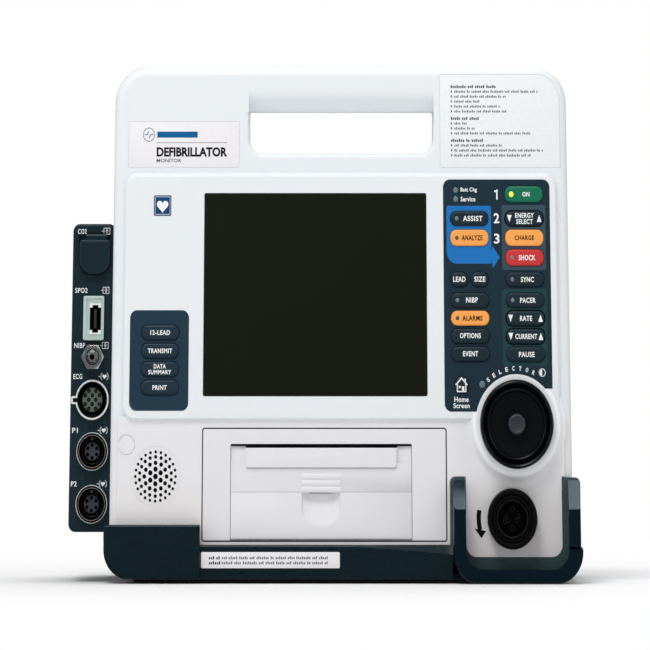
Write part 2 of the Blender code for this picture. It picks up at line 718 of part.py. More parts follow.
def nibp_fitting():
    steel = material("nut_steel", 176, 180, 182, 0.3, 1.0)
    brass = material("fitting_nickel", 196, 198, 196, 0.25, 1.0)
    x, z = NIBP
    hexagon = ((NIBP_NUT_RADIUS - 1.0, MODULE_FRONT - 5.5), (NIBP_NUT_RADIUS, MODULE_FRONT - 4.9))
    hexagon += ((NIBP_NUT_RADIUS, MODULE_FRONT - GAP), (5.0, MODULE_FRONT - GAP), (5.0, MODULE_FRONT - 5.5))
    turned("nibp_nut", NIBP, hexagon, steel, 6, ring=True)
    barb = [(2.2, -54.0), (2.2, -79.4), (2.6, -79.6), (3.4, -78.6), (4.0, -76.4), (3.3, -76.2), (4.2, -72.8)]
    barb += [(3.4, -72.6), (3.4, -67.0), (3.9, -66.6), (3.9, -50.0)]
    turned("nibp_fitting", (x, z), barb, brass, 20)


def co2_port_and_cover():
    port = material("co2_port_grey", 120, 132, 136, 0.45)
    lid = material("co2_lid_charcoal", 36, 50, 58, 0.5)
    centre = lid_centre()
    profile = ((3.6, -55.0), (3.6, -64.6), (6.4, -64.6), (7.0, -64.0), (7.0, -50.0))
    turned("co2_port", centre, profile, port, 24)
    hinge_y, hinge_z = CO2_HINGE
    face, back = MODULE_FRONT - 4.6, MODULE_FRONT - 1.6
    radii = (9.0, 2.0, 2.0, 9.0)
    cover = block("co2_cover", CO2_LID, radii, face, back, lid, 1.2, 2, 5, (centre[0], hinge_y, hinge_z))
    tab = block("lid_tab", (-178.6, -163.6, 207.0, 210.6), (0.5,) * 4, face + 0.6, back, steps=1)
    knuckle = turned("lid_knuckle", CO2_HINGE, ((1.5, -178.6), (1.5, -163.6)), None, 14, axis="X")
    add(cover, tab, knuckle)


# Printer


def gear_outline(teeth, turn):
    """An involute spur gear's outline as (a, b) points about its centre. Backlash thins every tooth."""
    pitch = GEAR_MODULE * teeth / 2
    base = pitch * math.cos(math.radians(20))
    tip, root = pitch + 0.95 * GEAR_MODULE, pitch - 1.2 * GEAR_MODULE
    backlash = 0.10
    half = math.pi / (2 * teeth) - backlash / pitch + math.tan(math.radians(20)) - math.radians(20)

    def flank(radius):
        pressure = math.acos(min(1.0, base / radius))
        return half - (math.tan(pressure) - pressure)

    radii = [max(base, root) + (tip - max(base, root)) * i / 2 for i in range(3)]
    points = []
    for tooth in range(teeth):
        middle = turn + 2 * math.pi * tooth / teeth
        rise = [(root, -flank(radii[0]))] + [(radius, -flank(radius)) for radius in radii]
        fall = [(radius, -angle) for radius, angle in reversed(rise)]
        for radius, angle in rise + fall:
            points.append((radius * math.cos(middle + angle), radius * math.sin(middle + angle)))
    return points


def gear(name, centre, teeth, turn, left, right, surface=None):
    y, z = centre
    shape = gear_outline(teeth, turn)
    rings = [[(x, y + a, z + b) for a, b in shape] for x in (left, right)]
    return finish(name, loft(rings), surface, (left, y, z) if surface else (0, 0, 0))


def motor_centre():
    distance = GEAR_MODULE * (PLATEN_TEETH + PINION_TEETH) / 2
    return (PLATEN[0] + math.sqrt(distance**2 - MOTOR_RISE**2), PLATEN[1] + MOTOR_RISE)


def printer_frame():
    white = material("printer_white", 224, 223, 226, 0.45)
    frame = block("printer_frame", PRINTER, (2.0,) * 4, LOWER_FACE, CASE_FACE - GAP, white, 1.0, 2, 3)
    inner = grown(TUB, -TUB_WALL)
    door_hole = (DOOR[0] - GAP, DOOR[1] + GAP, PRINTER[2] - 5, DOOR[3] + PAPER_SLOT)
    add(frame, block("tub", TUB, (2.0,) * 4, CASE_FACE - GAP - 1, TUB_BACK, steps=2))
    cut(
        frame,
        block("cut_tub", inner, (1.0,) * 4, CASE_FACE - GAP, TUB_BACK - TUB_WALL, steps=1),
        block("cut_door_hole", door_hole, (1.0,) * 4, FAR_FRONT, CASE_FACE + 0.5, steps=1),
    )


def printer_door():
    white = material("door_white", 230, 229, 232, 0.45)
    hinge_y, hinge_z = DOOR_HINGE
    left, right, bottom, top = DOOR
    back = DOOR_FACE + DOOR_THICKNESS
    radius = DOOR_THICKNESS / 2
    profile = [(DOOR_FACE, top - 0.5), (DOOR_FACE, bottom + radius)]
    for i in range(1, 6):
        angle = math.pi * (1 + i / 6)
        profile.append((hinge_y + radius * math.cos(angle), bottom + radius * (1 + math.sin(angle))))
    profile += [(back, bottom + radius), (back, top), (DOOR_FACE + 0.5, top)]
    rings = [[(x, y, z) for y, z in profile] for x in (left, right)]
    door = finish("printer_door", loft(rings), white, (0, hinge_y, hinge_z))
    bar = (-57.5, 52.6, 68.9, 80.4)
    ridges = [(-17.4, 12.2, 65.2 - 4.0 * i, 66.6 - 4.0 * i) for i in range(4)]
    proud = DOOR_FACE - PAPER_BAR_PROUD
    add(door, block("paper_bar", bar, (0.8,) * 4, proud, DOOR_FACE + 1, edge=0.6, edge_steps=2, steps=2))
    for i, ridge in enumerate(ridges):
        add(door, block("ridge_%d" % i, ridge, (0.6,) * 4, DOOR_FACE - 0.6, DOOR_FACE + 1, steps=1))
    add(door, block("scoop_cup", (-18.6, 13.0, 31.5, 54.0), (3,) * 4, back - 1, back + 4.4, steps=2))
    cut(door, block("cut_scoop", (-16.9, 11.4, 33.0, 53.6), (2,) * 4, FAR_FRONT, back + 3.0, steps=2))
    cut(door, cuboid("cut_parting_line", (left - 1, FAR_FRONT, 53.9), (right + 1, DOOR_FACE + 0.6, 54.5)))


def printer_mechanism():
    steel = material("head_steel", 150, 152, 155, 0.35, 0.9)
    rubber = material("platen_rubber", 34, 34, 36, 0.75)
    can = material("motor_can", 168, 170, 172, 0.35, 1.0)
    brass = material("pinion_brass", 190, 160, 90, 0.35, 1.0)
    paper = material("paper_white", 246, 245, 238, 0.9)
    head_front = DOOR_FACE + DOOR_THICKNESS + GAP
    head_back = PLATEN[0] - PLATEN_RADIUS - GAP
    cuboid("print_head", (-55, head_front, 69.5), (50, head_back, 78.0), steel)
    y, z = PLATEN
    roller = turned(
        "platen_roller",
        PLATEN,
        ((2.0, -66), (2.0, -56), (PLATEN_RADIUS, -56), (PLATEN_RADIUS, 51), (2.0, 51), (2.0, 64)),
        rubber,
        20,
        axis="X",
    )
    # A tooth of the platen's gear and a gap of the pinion's lie on the line between their centres.
    motor_y, motor_z = motor_centre()
    towards = math.atan2(motor_z - z, motor_y - y)
    add(roller, gear("platen_gear", PLATEN, PLATEN_TEETH, towards, *GEAR_FACE))
    turn = towards + math.pi + math.pi / PINION_TEETH
    pinion = gear("motor_pinion", (motor_y, motor_z), PINION_TEETH, turn, *GEAR_FACE, brass)
    add(pinion, turned("pinion_shaft", (motor_y, motor_z), ((1.2, 54.3), (1.2, 57.0)), None, 12, axis="X"))
    turned("printer_motor", (motor_y, motor_z), ((MOTOR_RADIUS, 24), (MOTOR_RADIUS, 54)), can, 24, axis="X")
    roll_y, roll_z, radius = PAPER_ROLL
    roll = ((6.0, -54), (radius, -54), (radius, 50), (6.0, 50))
    turned("paper_roll", (roll_y, roll_z), roll, paper, 28, ring=True, axis="X")


# Inner pieces and batteries


def speaker():
    black = material("speaker_black", 40, 40, 42, 0.6)
    profile = ((24.0, CASE_INSIDE + GAP), (24.0, -79.5), (21.0, -79.0), (15.0, -66.0), (15.0, -56.0))
    turned("speaker", SPEAKER, profile, black, 28)


def inner_pieces():
    board = material("board_green", 30, 90, 60, 0.5)
    blue = material("capacitor_blue", 40, 60, 120, 0.45)
    cuboid("main_board", (-146, BOARD_FRONT, 108), (166, BOARD_FRONT + 1.6, 245), board)
    therapy = cuboid("therapy_board", (-6, 20, 118), (166, 21.6, 228), board)
    add(
        therapy,
        cuboid("transformer", (24, 21, 140), (70, 58, 186)),
        cuboid("relay", (96, 21, 150), (126, 46, 176)),
    )
    can = ((27.0, -118), (28.0, -116), (28.0, -26), (27.0, -24))
    turned("energy_capacitor", (34.0, 152.0), can, blue, 28, axis="X")


def batteries():
    charcoal = material("battery_charcoal", 44, 50, 56, 0.5)
    for name, x in BATTERY_CENTRES.items():
        half = BATTERY_WIDTH / 2
        box = (x - half, x + half, BATTERY_BOTTOM, BATTERY_TOP)
        middle = (x, 0, (box[2] + box[3]) / 2)
        pack = block(name, box, (3,) * 4, BATTERY_FRONT, REAR_FACE + 1, charcoal, steps=2, origin=middle)
        tab = (x - 24, x + 24, BATTERY_TOP - 16, BATTERY_TOP - 4)
        add(pack, block("tab_" + name, tab, (2,) * 4, REAR_FACE, BATTERY_END, steps=2))


def clear_scene():
    for old in list(bpy.data.objects):
        bpy.data.objects.remove(old)


def build():
    clear_scene()
    front_case()
    rear_case()
    base_tray()
    corner_guard()
    feet()
    display()
    keys()
    key_panels()
    dial()
    therapy_socket()
    side_module()
    module_sockets()
    spo2_socket()
    nibp_fitting()
    co2_port_and_cover()
    printer_frame()
    printer_door()
    printer_mechanism()
    speaker()
    inner_pieces()
    batteries()


build()
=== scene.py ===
"""The looks of a hospital monitor and defibrillator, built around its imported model.

Lengths are in millimetres until a mesh is made, as in the part: +X is the operator's right, the front faces
-Y, +Z is up, and the origin is at the bottom centre.
"""

import json
import math

import bmesh
import bpy
from mathutils import Matrix, Vector


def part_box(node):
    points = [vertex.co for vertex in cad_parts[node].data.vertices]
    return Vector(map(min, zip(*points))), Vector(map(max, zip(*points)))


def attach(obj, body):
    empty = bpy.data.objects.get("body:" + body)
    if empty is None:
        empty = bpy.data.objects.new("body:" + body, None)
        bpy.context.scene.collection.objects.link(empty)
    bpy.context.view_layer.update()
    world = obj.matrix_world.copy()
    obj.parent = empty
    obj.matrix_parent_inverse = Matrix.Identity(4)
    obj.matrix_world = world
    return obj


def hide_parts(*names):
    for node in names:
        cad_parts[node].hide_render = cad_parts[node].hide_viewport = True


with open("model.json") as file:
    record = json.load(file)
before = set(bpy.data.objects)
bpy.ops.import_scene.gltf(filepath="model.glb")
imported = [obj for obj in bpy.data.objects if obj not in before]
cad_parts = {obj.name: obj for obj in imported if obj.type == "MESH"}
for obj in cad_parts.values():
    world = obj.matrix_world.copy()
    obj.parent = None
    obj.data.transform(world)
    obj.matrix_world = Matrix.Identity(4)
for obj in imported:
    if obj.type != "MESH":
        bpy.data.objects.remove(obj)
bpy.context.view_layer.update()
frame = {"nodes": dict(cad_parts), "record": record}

MM = 0.001
GAP = 0.3
AHEAD, BEHIND = -120.0, -50.0
HOUSING = "housing"
SLOTS = {node["node"]: node["material_slot"] for node in frame["record"]["subparts"]}


def node_box(node):
    """A node's left, right, bottom and top, and its front and back, in millimetres."""
    low, high = (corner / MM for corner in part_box(node))
    return (low.x, high.x, low.z, high.z), low.y, high.y


def middle(box):
    return ((box[0] + box[1]) / 2, (box[2] + box[3]) / 2)


def node_centre(node):
    return middle(node_box(node)[0])


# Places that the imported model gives
CASE, _, CASE_PARTING = node_box("front_case")
REAR, REAR_START, REAR_FACE = node_box("rear_case")
TRAY, BUMPER_FRONT, TRAY_BACK = node_box("base_tray")
GUARD, GUARD_FRONT, GUARD_BACK = node_box("corner_guard")
DISPLAY, DISPLAY_FRONT, DISPLAY_BACK = node_box("display_window")
RIGHT_PANEL, PANEL_FRONT, PANEL_BACK = node_box("right_key_panel")
LEFT_PANEL, _, _ = node_box("left_key_panel")
_, DIAL_FRONT, DIAL_BACK = node_box("selector_dial")
_, THERAPY_FRONT, _ = node_box("therapy_socket")
DIAL, THERAPY = node_centre("selector_dial"), node_centre("therapy_socket")
MODULE, MODULE_FRONT, MODULE_BACK = node_box("side_module")
PRINTER, LOWER_FACE, PRINTER_BACK = node_box("printer_frame")
DOOR, _, _ = node_box("printer_door")

# Stations and outlines that the part shares with its boxes
CASE_FACE = -86.0
CASE_INSIDE = -82.5
PLATFORM_FACE = PANEL_FRONT - 0.2
PLATFORM = (CASE[0] + 9, CASE[1] - 9, 98.0, 248.6)
CASE_TOP_CORNER = 24.0
HANDLE_HOLE = (-56.5, 81.3, 262.1, 288.5)
CAVITY_TOP = 252.0
APRON = (103.6, 173.9, 15.5, 66.0)
APRON_CORNERS = (7.5, 3, 3, 7.5)
PANEL_BITE = 30.5
LOW_EDGE = 117.0
BOSS_FACE = -94.0
DOOR_FACE = LOWER_FACE - 0.4
TRAY_FRONT = -95.0
STRIP_TOP = 22.8


# Scene: camera, light and floor

SQUEEZE = 1 / 1.21
EYE = Vector((0.2, -6120.0, 155.6)) * MM
REFLECTED = 0.14
LIGHTS = {
    "key": ((-0.45, -1.5, 2.3), (0, -0.05, 0.2), 1.1, 31),
    "fill_left": ((-2.3, -1.5, 0.9), (0, 0, 0.15), 1.3, 7),
    "fill_right": ((2.3, -1.3, 1.1), (0, 0, 0.15), 1.3, 7),
    "top": ((0.15, 0.1, 2.5), (0, 0, 0.15), 0.9, 9),
    "rear": ((0.6, 2.2, 1.9), (0, 0, 0.15), 1.6, 16),
}


def linked(name, data):
    made = bpy.data.objects.new(name, data)
    bpy.context.scene.collection.objects.link(made)
    return made


def camera():
    """A frontal view through a long lens, squeezed sideways. The camera's frame is sheared for that: its
    parent inverse tilts the camera's upright axis."""
    data = bpy.data.cameras.new("camera")
    data.lens = 450
    data.clip_end = 60
    made = linked("camera", data)
    made.location = EYE
    made.rotation_euler = (math.pi / 2, 0, 0)
    made.parent = linked("camera_frame", None)
    tilt = -math.sin(math.acos(SQUEEZE))
    sheared = Matrix(((1, 0, 0), (0, tilt, -1), (0, SQUEEZE, 0))).to_4x4()
    upright = Matrix.Rotation(math.pi / 2, 4, "X")
    there = Matrix.Translation(EYE)
    made.matrix_parent_inverse = there @ sheared @ (there @ upright).inverted()
    bpy.context.scene.camera = made


def area_light(name, place, target, size, power):
    data = bpy.data.lights.new(name, "AREA")
    data.shape = "DISK"
    data.size = size
    data.energy = power
    made = linked(name, data)
    made.location = place
    made.rotation_euler = (Vector(target) - Vector(place)).to_track_quat("-Z", "Y").to_euler()
    made.visible_camera = False


def glow(tree, kind, strength):
    """A white background or emission."""
    made = tree.nodes.new("ShaderNode" + kind)
    made.inputs["Color"].default_value = (1, 1, 1, 1)
    made.inputs["Strength"].default_value = strength
    return made.outputs[0]


def mix_shaders(tree, factor, first, second):
    mix = tree.nodes.new("ShaderNodeMixShader")
    for i, output in enumerate((factor, first, second)):
        tree.links.new(output, mix.inputs[i])
    return mix.outputs[0]


def studio():
    """Soft lamps in white surroundings, which look dim in reflections so that dark plastic stays dark."""
    scene = bpy.context.scene
    scene.view_settings.view_transform = "Standard"
    scene.world = bpy.data.worlds.new("studio")
    scene.world.use_nodes = True
    tree = scene.world.node_tree
    tree.nodes.clear()
    rays = tree.nodes.new("ShaderNodeLightPath").outputs
    reaches = glow(tree, "Background", 0.44)
    for ray, strength in (("Is Glossy Ray", REFLECTED), ("Is Camera Ray", 1.0)):
        reaches = mix_shaders(tree, rays[ray], reaches, glow(tree, "Background", strength))
    tree.links.new(reaches, tree.nodes.new("ShaderNodeOutputWorld").inputs[0])
    for name, settings in LIGHTS.items():
        area_light(name, *settings)


def floor():
    bm = bmesh.new()
    bmesh.ops.create_circle(bm, cap_ends=True, segments=96, radius=9)
    surface = Surface("floor", (0.93, 0.93, 0.935), 0.85)
    surface.mix(surface.noise(3.0, 4.0), (0.92, 0.92, 0.925), (0.95, 0.95, 0.955))
    fade_to_white(surface, 0.2, 0.62)
    made = placed("floor", bm, [surface.made])
    made.location.z = -0.0002


def fade_to_white(surface, start, end):
    """The floor goes over into the white surroundings between these distances from the object."""
    tree, nodes = surface.tree, surface.tree.nodes
    length = nodes.new("ShaderNodeVectorMath")
    length.operation = "LENGTH"
    tree.links.new(nodes.new("ShaderNodeTexCoord").outputs["Object"], length.inputs[0])
    factor = surface.remap(length.outputs["Value"], start, end, 0.0, 1.0)
    faded = mix_shaders(tree, factor, nodes["Principled BSDF"].outputs[0], glow(tree, "Emission", 1.0))
    glossy = nodes.new("ShaderNodeLightPath").outputs["Is Glossy Ray"]
    faded = mix_shaders(tree, glossy, faded, glow(tree, "Emission", REFLECTED))
    tree.links.new(faded, nodes["Material Output"].inputs["Surface"])


# Materials


def rgb(*levels):
    """Display levels from 0 to 255 as linear values."""
    values = (level / 255 for level in levels)
    return tuple(v / 12.92 if v <= 0.04045 else ((v + 0.055) / 1.055) ** 2.4 for v in values)


def scaled(colour, by):
    return tuple(min(1.0, channel * by) for channel in colour)


class Surface:
    """A material, with the node set-ups that its look is made of."""

    def __init__(self, name, colour, roughness, metallic=0.0, shine=0.5):
        self.made = bpy.data.materials.new(name)
        self.made.use_nodes = True
        self.tree = self.made.node_tree
        self.inputs = self.tree.nodes["Principled BSDF"].inputs
        self.colour = colour
        self.inputs["Base Color"].default_value = (*colour, 1)
        self.inputs["Roughness"].default_value = roughness
        self.inputs["Metallic"].default_value = metallic
        self.inputs["Specular IOR Level"].default_value = shine

    def texture(self, kind, stretch=(1, 1, 1), **values):
        """A texture in object space: its first float output."""
        new = self.tree.nodes.new
        place, mapping = new("ShaderNodeTexCoord"), new("ShaderNodeMapping")
        made = new("ShaderNodeTex" + kind)
        mapping.inputs["Scale"].default_value = stretch
        self.tree.links.new(place.outputs["Object"], mapping.inputs["Vector"])
        self.tree.links.new(mapping.outputs["Vector"], made.inputs["Vector"])
        for key, value in values.items():
            made.inputs[key].default_value = value
        return made.outputs["Distance" if kind == "Voronoi" else "Fac"]

    def noise(self, scale, detail, stretch=(1, 1, 1), roughness=0.5):
        return self.texture("Noise", stretch, Scale=scale, Detail=detail, Roughness=roughness)

    def remap(self, source, low, high, to_low, to_high):
        made = self.tree.nodes.new("ShaderNodeMapRange")
        for key, value in zip(("From Min", "From Max", "To Min", "To Max"), (low, high, to_low, to_high)):
            made.inputs[key].default_value = value
        self.tree.links.new(source, made.inputs["Value"])
        return made.outputs["Result"]

    def mix(self, factor, first, second):
        """Mixes two colours, or a colour onto what already reaches the shader when first is None."""
        made = self.tree.nodes.new("ShaderNodeMix")
        made.data_type = "RGBA"
        self.tree.links.new(factor, made.inputs["Factor"])
        if first is None:
            self.tree.links.new(self.inputs["Base Color"].links[0].from_socket, made.inputs["A"])
        else:
            made.inputs["A"].default_value = (*first, 1)
        made.inputs["B"].default_value = (*second, 1)
        self.tree.links.new(made.outputs["Result"], self.inputs["Base Color"])

    def vary(self, factor, low, high):
        """The colour goes between these multiples of itself."""
        self.mix(factor, scaled(self.colour, low), scaled(self.colour, high))

    def gloss(self, factor, low, high):
        self.tree.links.new(self.remap(factor, 0.3, 0.7, low, high), self.inputs["Roughness"])

    def bump(self, *heights, distance=0.0001):
        """Chains bumps, each (height, strength), into the shader's normal."""
        reaches = self.inputs["Normal"]
        for height, strength in reversed(heights):
            made = self.tree.nodes.new("ShaderNodeBump")
            made.inputs["Strength"].default_value = strength
            made.inputs["Distance"].default_value = distance
            self.tree.links.new(height, made.inputs["Height"])
            self.tree.links.new(made.outputs["Normal"], reaches)
            reaches = made.inputs["Normal"]


def plastic(name, levels, roughness, grain=1500, grit=0.12, shade=0.05, dust=0.0, worn=0.0, shine=0.5):
    """Moulded plastic: cloudy colour, spark-eroded grain, uneven gloss, faint scuffs and, where worn is
    given, paler rubbed edges."""
    surface = Surface(name, rgb(*levels), roughness, shine=shine)
    surface.vary(surface.noise(14.0, 5.0, roughness=0.6), 1 - shade, 1 + shade)
    if dust:
        specks = surface.remap(surface.noise(420.0, 2.0), 0.6, 0.78, 0.0, dust)
        surface.mix(specks, None, (0.4, 0.42, 0.43))
    if worn:
        edges = surface.tree.nodes.new("ShaderNodeNewGeometry").outputs["Pointiness"]
        surface.mix(surface.remap(edges, 0.51, 0.62, 0.0, worn), None, scaled(surface.colour, 2.2))
    surface.gloss(surface.noise(38.0, 6.0, (1, 1, 2.5), 0.65), roughness - 0.06, roughness + 0.07)
    cells = surface.texture("Voronoi", Scale=grain * 0.7)
    surface.bump((surface.noise(grain, 2.0), grit), (cells, grit * 0.6))
    return surface


def case_plastic():
    """The case's white, with painted shade on its front faces: greyer from just under the platform down, and
    warmer towards the bottom.
    """
    surface = plastic("case", (232, 236, 239), 0.42, shade=0.012, dust=0.01)
    new, links = surface.tree.nodes.new, surface.tree.links
    split = new("ShaderNodeSeparateXYZ")
    links.new(new("ShaderNodeTexCoord").outputs["Object"], split.inputs[0])
    front = surface.remap(split.outputs["Y"], -0.079, -0.0855, 0.0, 1.0)
    # Painted shade: two tones mixed in on the front faces, greyer under the platform and warmer lower down.
    for top, bottom, levels in ((0.0985, 0.0955, (231, 231, 234)), (0.09, 0.014, (236, 232, 231))):
        painted_shade = new("ShaderNodeMath")
        painted_shade.operation = "MULTIPLY"
        links.new(surface.remap(split.outputs["Z"], top, bottom, 0.0, 1.0), painted_shade.inputs[0])
        links.new(front, painted_shade.inputs[1])
        surface.mix(painted_shade.outputs[0], None, rgb(*levels))
    return surface


def metal(name, colour, roughness, stretch=(1, 1, 1)):
    """Turned or brushed metal, with its lines along the short direction of stretch."""
    surface = Surface(name, colour, roughness, 1.0)
    lines = surface.noise(900.0, 3.0, stretch)
    surface.vary(surface.noise(90.0, 5.0), 0.85, 1.08)
    surface.gloss(lines, roughness * 0.75, roughness * 1.3)
    surface.bump((lines, 0.08))
    return surface


def printed(name, levels, roughness=0.45):
    """Screen-printed ink: near flat, with a little unevenness in cover and gloss."""
    surface = Surface(name, rgb(*levels), roughness, shine=0.25)
    cover = surface.noise(700.0, 3.0)
    surface.vary(cover, 0.93, 1.04)
    surface.gloss(cover, roughness - 0.05, roughness + 0.05)
    return surface


def lamp(name, levels, strength):
    """An indicator lens, which shines when strength is above 0."""
    surface = Surface(name, rgb(*levels), 0.25)
    facets = surface.texture("Voronoi", Scale=1600.0)
    surface.vary(facets, 0.8, 1.15)
    surface.bump((facets, 0.25))
    surface.inputs["Coat Weight"].default_value = 0.4
    surface.inputs["Emission Color"].default_value = (*surface.colour, 1)
    surface.inputs["Emission Strength"].default_value = strength
    return surface


def screen_glass():
    """An unlit display behind an anti-glare window: near black with an olive cast and a faint cell grid."""
    surface = Surface("screen", rgb(28, 31, 21), 0.32, shine=0.1)
    surface.mix(surface.noise(9.0, 3.0), rgb(22, 26, 15), rgb(27, 30, 19))
    surface.bump((surface.noise(2600.0, 1.0), 0.05))
    return surface


def circuit_board():
    surface = Surface("board", rgb(28, 92, 58), 0.35)
    tracks = surface.texture("Voronoi", (1, 1, 2), Scale=160.0)
    surface.mix(surface.remap(tracks, 0.2, 0.5, 0, 1), rgb(36, 110, 70), rgb(20, 74, 46))
    surface.bump((tracks, 0.3), distance=0.0002)
    return surface


# Levels, roughness, grain, grit, shade, dust, wear and shine, as plastic takes them
PLASTICS = {
    # A brighter copy of the case's white: painted light on the dial's boss.
    "boss_white": ((246, 248, 250), 0.42, 1500, 0.12, 0.01, 0.01),
    # The printer's frame and door: the case's white made greyer, painted shade matching the lower front's
    # tone.
    "printer": ((230, 229, 232), 0.42, 1500, 0.12, 0.01, 0.02),
    "rear": ((231, 234, 237), 0.46, 1200, 0.18, 0.015, 0.03),
    "tray": ((11, 31, 38), 0.28, 1100, 0.1, 0.12, 0, 0.4, 0.25),
    "guard": ((5, 21, 29), 0.12, 1300, 0.02, 0.1, 0, 0.2, 0.38),
    "flange": ((62, 82, 84), 0.5, 1100, 0.2, 0.08, 0, 0, 0.15),
    "module": ((22, 42, 50), 0.4, 1200, 0.14, 0.1, 0, 0.3, 0.2),
    "lid": ((18, 40, 49), 0.36, 900, 0.12, 0.1, 0, 0.3, 0.3),
    "panel": ((26, 49, 62), 0.4, 2200, 0.1, 0.05, 0, 0, 0.25),
    "left_panel": ((30, 57, 73), 0.4, 2200, 0.1, 0.05, 0, 0, 0.25),
    "dark_key": ((22, 44, 54), 0.45, 1800, 0.1, 0.08, 0.01, 0, 0.35),
    "left_key": ((25, 48, 63), 0.45, 1800, 0.1, 0.08, 0.01, 0, 0.35),
    "green_key": ((0, 112, 82), 0.42, 1800, 0.1, 0.06, 0, 0, 0.4),
    "orange_key": ((250, 164, 80), 0.42, 1800, 0.1, 0.05, 0, 0, 0.4),
    "red_key": ((202, 46, 46), 0.42, 1800, 0.1, 0.06, 0, 0, 0.4),
    "black": ((7, 7, 8), 0.36, 1500, 0.12, 0.15, 0, 0.3, 0.2),
    "dial": ((7, 9, 12), 0.3, 1400, 0.12, 0.12, 0, 0.3, 0.25),
    "dial_cap": ((46, 53, 60), 0.42, 1400, 0.4, 0.12),
    "deep_black": ((3, 3, 4), 0.5, 1500, 0.12, 0.1, 0, 0, 0.06),
    "socket": ((42, 46, 50), 0.35, 1600, 0.1, 0.1, 0.02, 0.4, 0.4),
    "socket_insert": ((66, 70, 80), 0.4, 1600, 0.1, 0.1, 0, 0, 0.3),
    "ecg_insert": ((92, 108, 98), 0.45, 1600, 0.1, 0.08, 0, 0, 0.3),
    "rim_black": ((25, 24, 25), 0.3, 1600, 0.1, 0.1, 0, 0, 0.4),
    "lip": ((132, 124, 122), 0.35, 1600, 0.1, 0.1, 0, 0, 0.4),
    "pale": ((184, 203, 195), 0.42, 1500, 0.1, 0.03, 0.02),
    "bright": ((232, 236, 234), 0.4, 1500, 0.1, 0.02),
    "ring_white": ((226, 230, 228), 0.3, 1500, 0.06, 0.03),
    "rubber": ((26, 27, 29), 0.75, 700, 0.3, 0.2, 0.05),
    # A dark ring in the groove round the printer's frame: painted shade.
    "gasket": ((52, 50, 52), 0.7, 900, 0.2, 0.1, 0, 0, 0.3),
    "paper": ((246, 245, 238), 0.75, 300, 0.3, 0.02),
    "sleeve": ((40, 60, 120), 0.3, 800, 0.06, 0.06),
}
METALS = {
    "steel": ((0.78, 0.8, 0.8), 0.17),
    "gold": ((0.75, 0.58, 0.3), 0.28),
    "copper": ((0.16, 0.08, 0.05), 0.4),
    "drawn_steel": ((0.5, 0.51, 0.52), 0.35, (0.2, 4, 4)),
    "brass": ((0.6, 0.42, 0.14), 0.3),
}
INKS = {
    "label": ((238, 236, 239), 0.35),
    "guide_film": ((237, 240, 242), 0.35),
    "outline_ink": ((206, 206, 210),),
    "white_ink": ((240, 243, 244),),
    "black_ink": ((8, 7, 8),),
    "grey_ink": ((96, 98, 102),),
    "blue_ink": ((0, 92, 150),),
    "zone_blue": ((22, 114, 188),),
    "zone_grey": ((56, 78, 92),),
    "zone_green": ((30, 66, 70),),
    "badge": ((18, 66, 118), 0.35),
}
LAMPS = {
    "lamp_off": ((104, 126, 130), 0.0),
    "lamp_on": ((238, 246, 60), 0.5),
    "lamp_dark": ((84, 86, 74), 0.0),
}


def make_surfaces():
    made = {"case": case_plastic(), "screen": screen_glass(), "board": circuit_board()}
    for maker, table in ((plastic, PLASTICS), (metal, METALS), (printed, INKS), (lamp, LAMPS)):
        made.update({name: maker(name, *settings) for name, settings in table.items()})
    made["guard"].inputs["Specular Tint"].default_value = (0.6, 0.82, 1.0, 1.0)
    return {name: surface.made for name, surface in made.items()}


SURFACES = make_surfaces()


# Mesh tools


def arc(x, z, radius, start, end, steps):
    angles = (math.radians(start + (end - start) * i / steps) for i in range(steps + 1))
    return [(x + radius * math.cos(a), z + radius * math.sin(a)) for a in angles]


def circle(x, z, radius, segments):
    return arc(x, z, radius, 0, 360 * (segments - 1) / segments, segments - 1)


def around(centre, radius, degrees):
    """The point at this angle and distance from a centre."""
    return arc(*centre, radius, degrees, degrees, 1)[0]


def outline(box, radii, inset=0.0, steps=8):
    """A rounded rectangle. Radii: one for all, or lower right, upper right, upper left, lower left."""
    left, right, bottom, top = box
    reach = [max(radius, inset + 0.05) for radius in (radii if isinstance(radii, tuple) else (radii,) * 4)]
    corners = (
        (right - reach[0], bottom + reach[0], 270),
        (right - reach[1], top - reach[1], 0),
        (left + reach[2], top - reach[2], 90),
        (left + reach[3], bottom + reach[3], 180),
    )
    points = []
    for (x, z, start), radius in zip(corners, reach):
        points += arc(x, z, radius - inset, start, start + 90, steps)
    return points


def grown(box, by):
    return (box[0] - by, box[1] + by, box[2] - by, box[3] + by)


def at(y, points):
    return [(x, y, z) for x, z in points]


def from_face(face, *points):
    """Points (radius or inset, y) from ones whose second value counts backwards from a face."""
    return [(radius, face + back) for radius, back in points]


def loft(rings, closed=False):
    """Rings of equally many points joined into a skin, closed on itself or capped at its ends."""
    bm = bmesh.new()
    rows = [[bm.verts.new(point) for point in ring] for ring in rings]
    count = len(rows[0])
    spans = list(zip(rows, rows[1:]))
    if closed:
        spans.append((rows[-1], rows[0]))
    for first, second in spans:
        for i in range(count):
            j = (i + 1) % count
            bm.faces.new((first[i], first[j], second[j], second[i]))
    if not closed:
        bm.faces.new(rows[0])
        bm.faces.new(rows[-1])
    return bm


def placed(name, bm, materials):
    """A bmesh becomes an object in the scene, shaded smooth."""
    mesh = bpy.data.meshes.new(name)
    bm.to_mesh(mesh)
    bm.free()
    for material in materials:
        mesh.materials.append(material)
    mesh.shade_smooth()
    mesh.set_sharp_from_angle(angle=math.radians(34))
    return linked(name, mesh)


def finish(name, bm, surface=None):
    """A bmesh in millimetres becomes an object in metres."""
    bmesh.ops.scale(bm, verts=bm.verts, vec=(MM, MM, MM))
    bmesh.ops.recalc_face_normals(bm, faces=bm.faces)
    return placed(name, bm, [SURFACES[surface]] if surface else [])


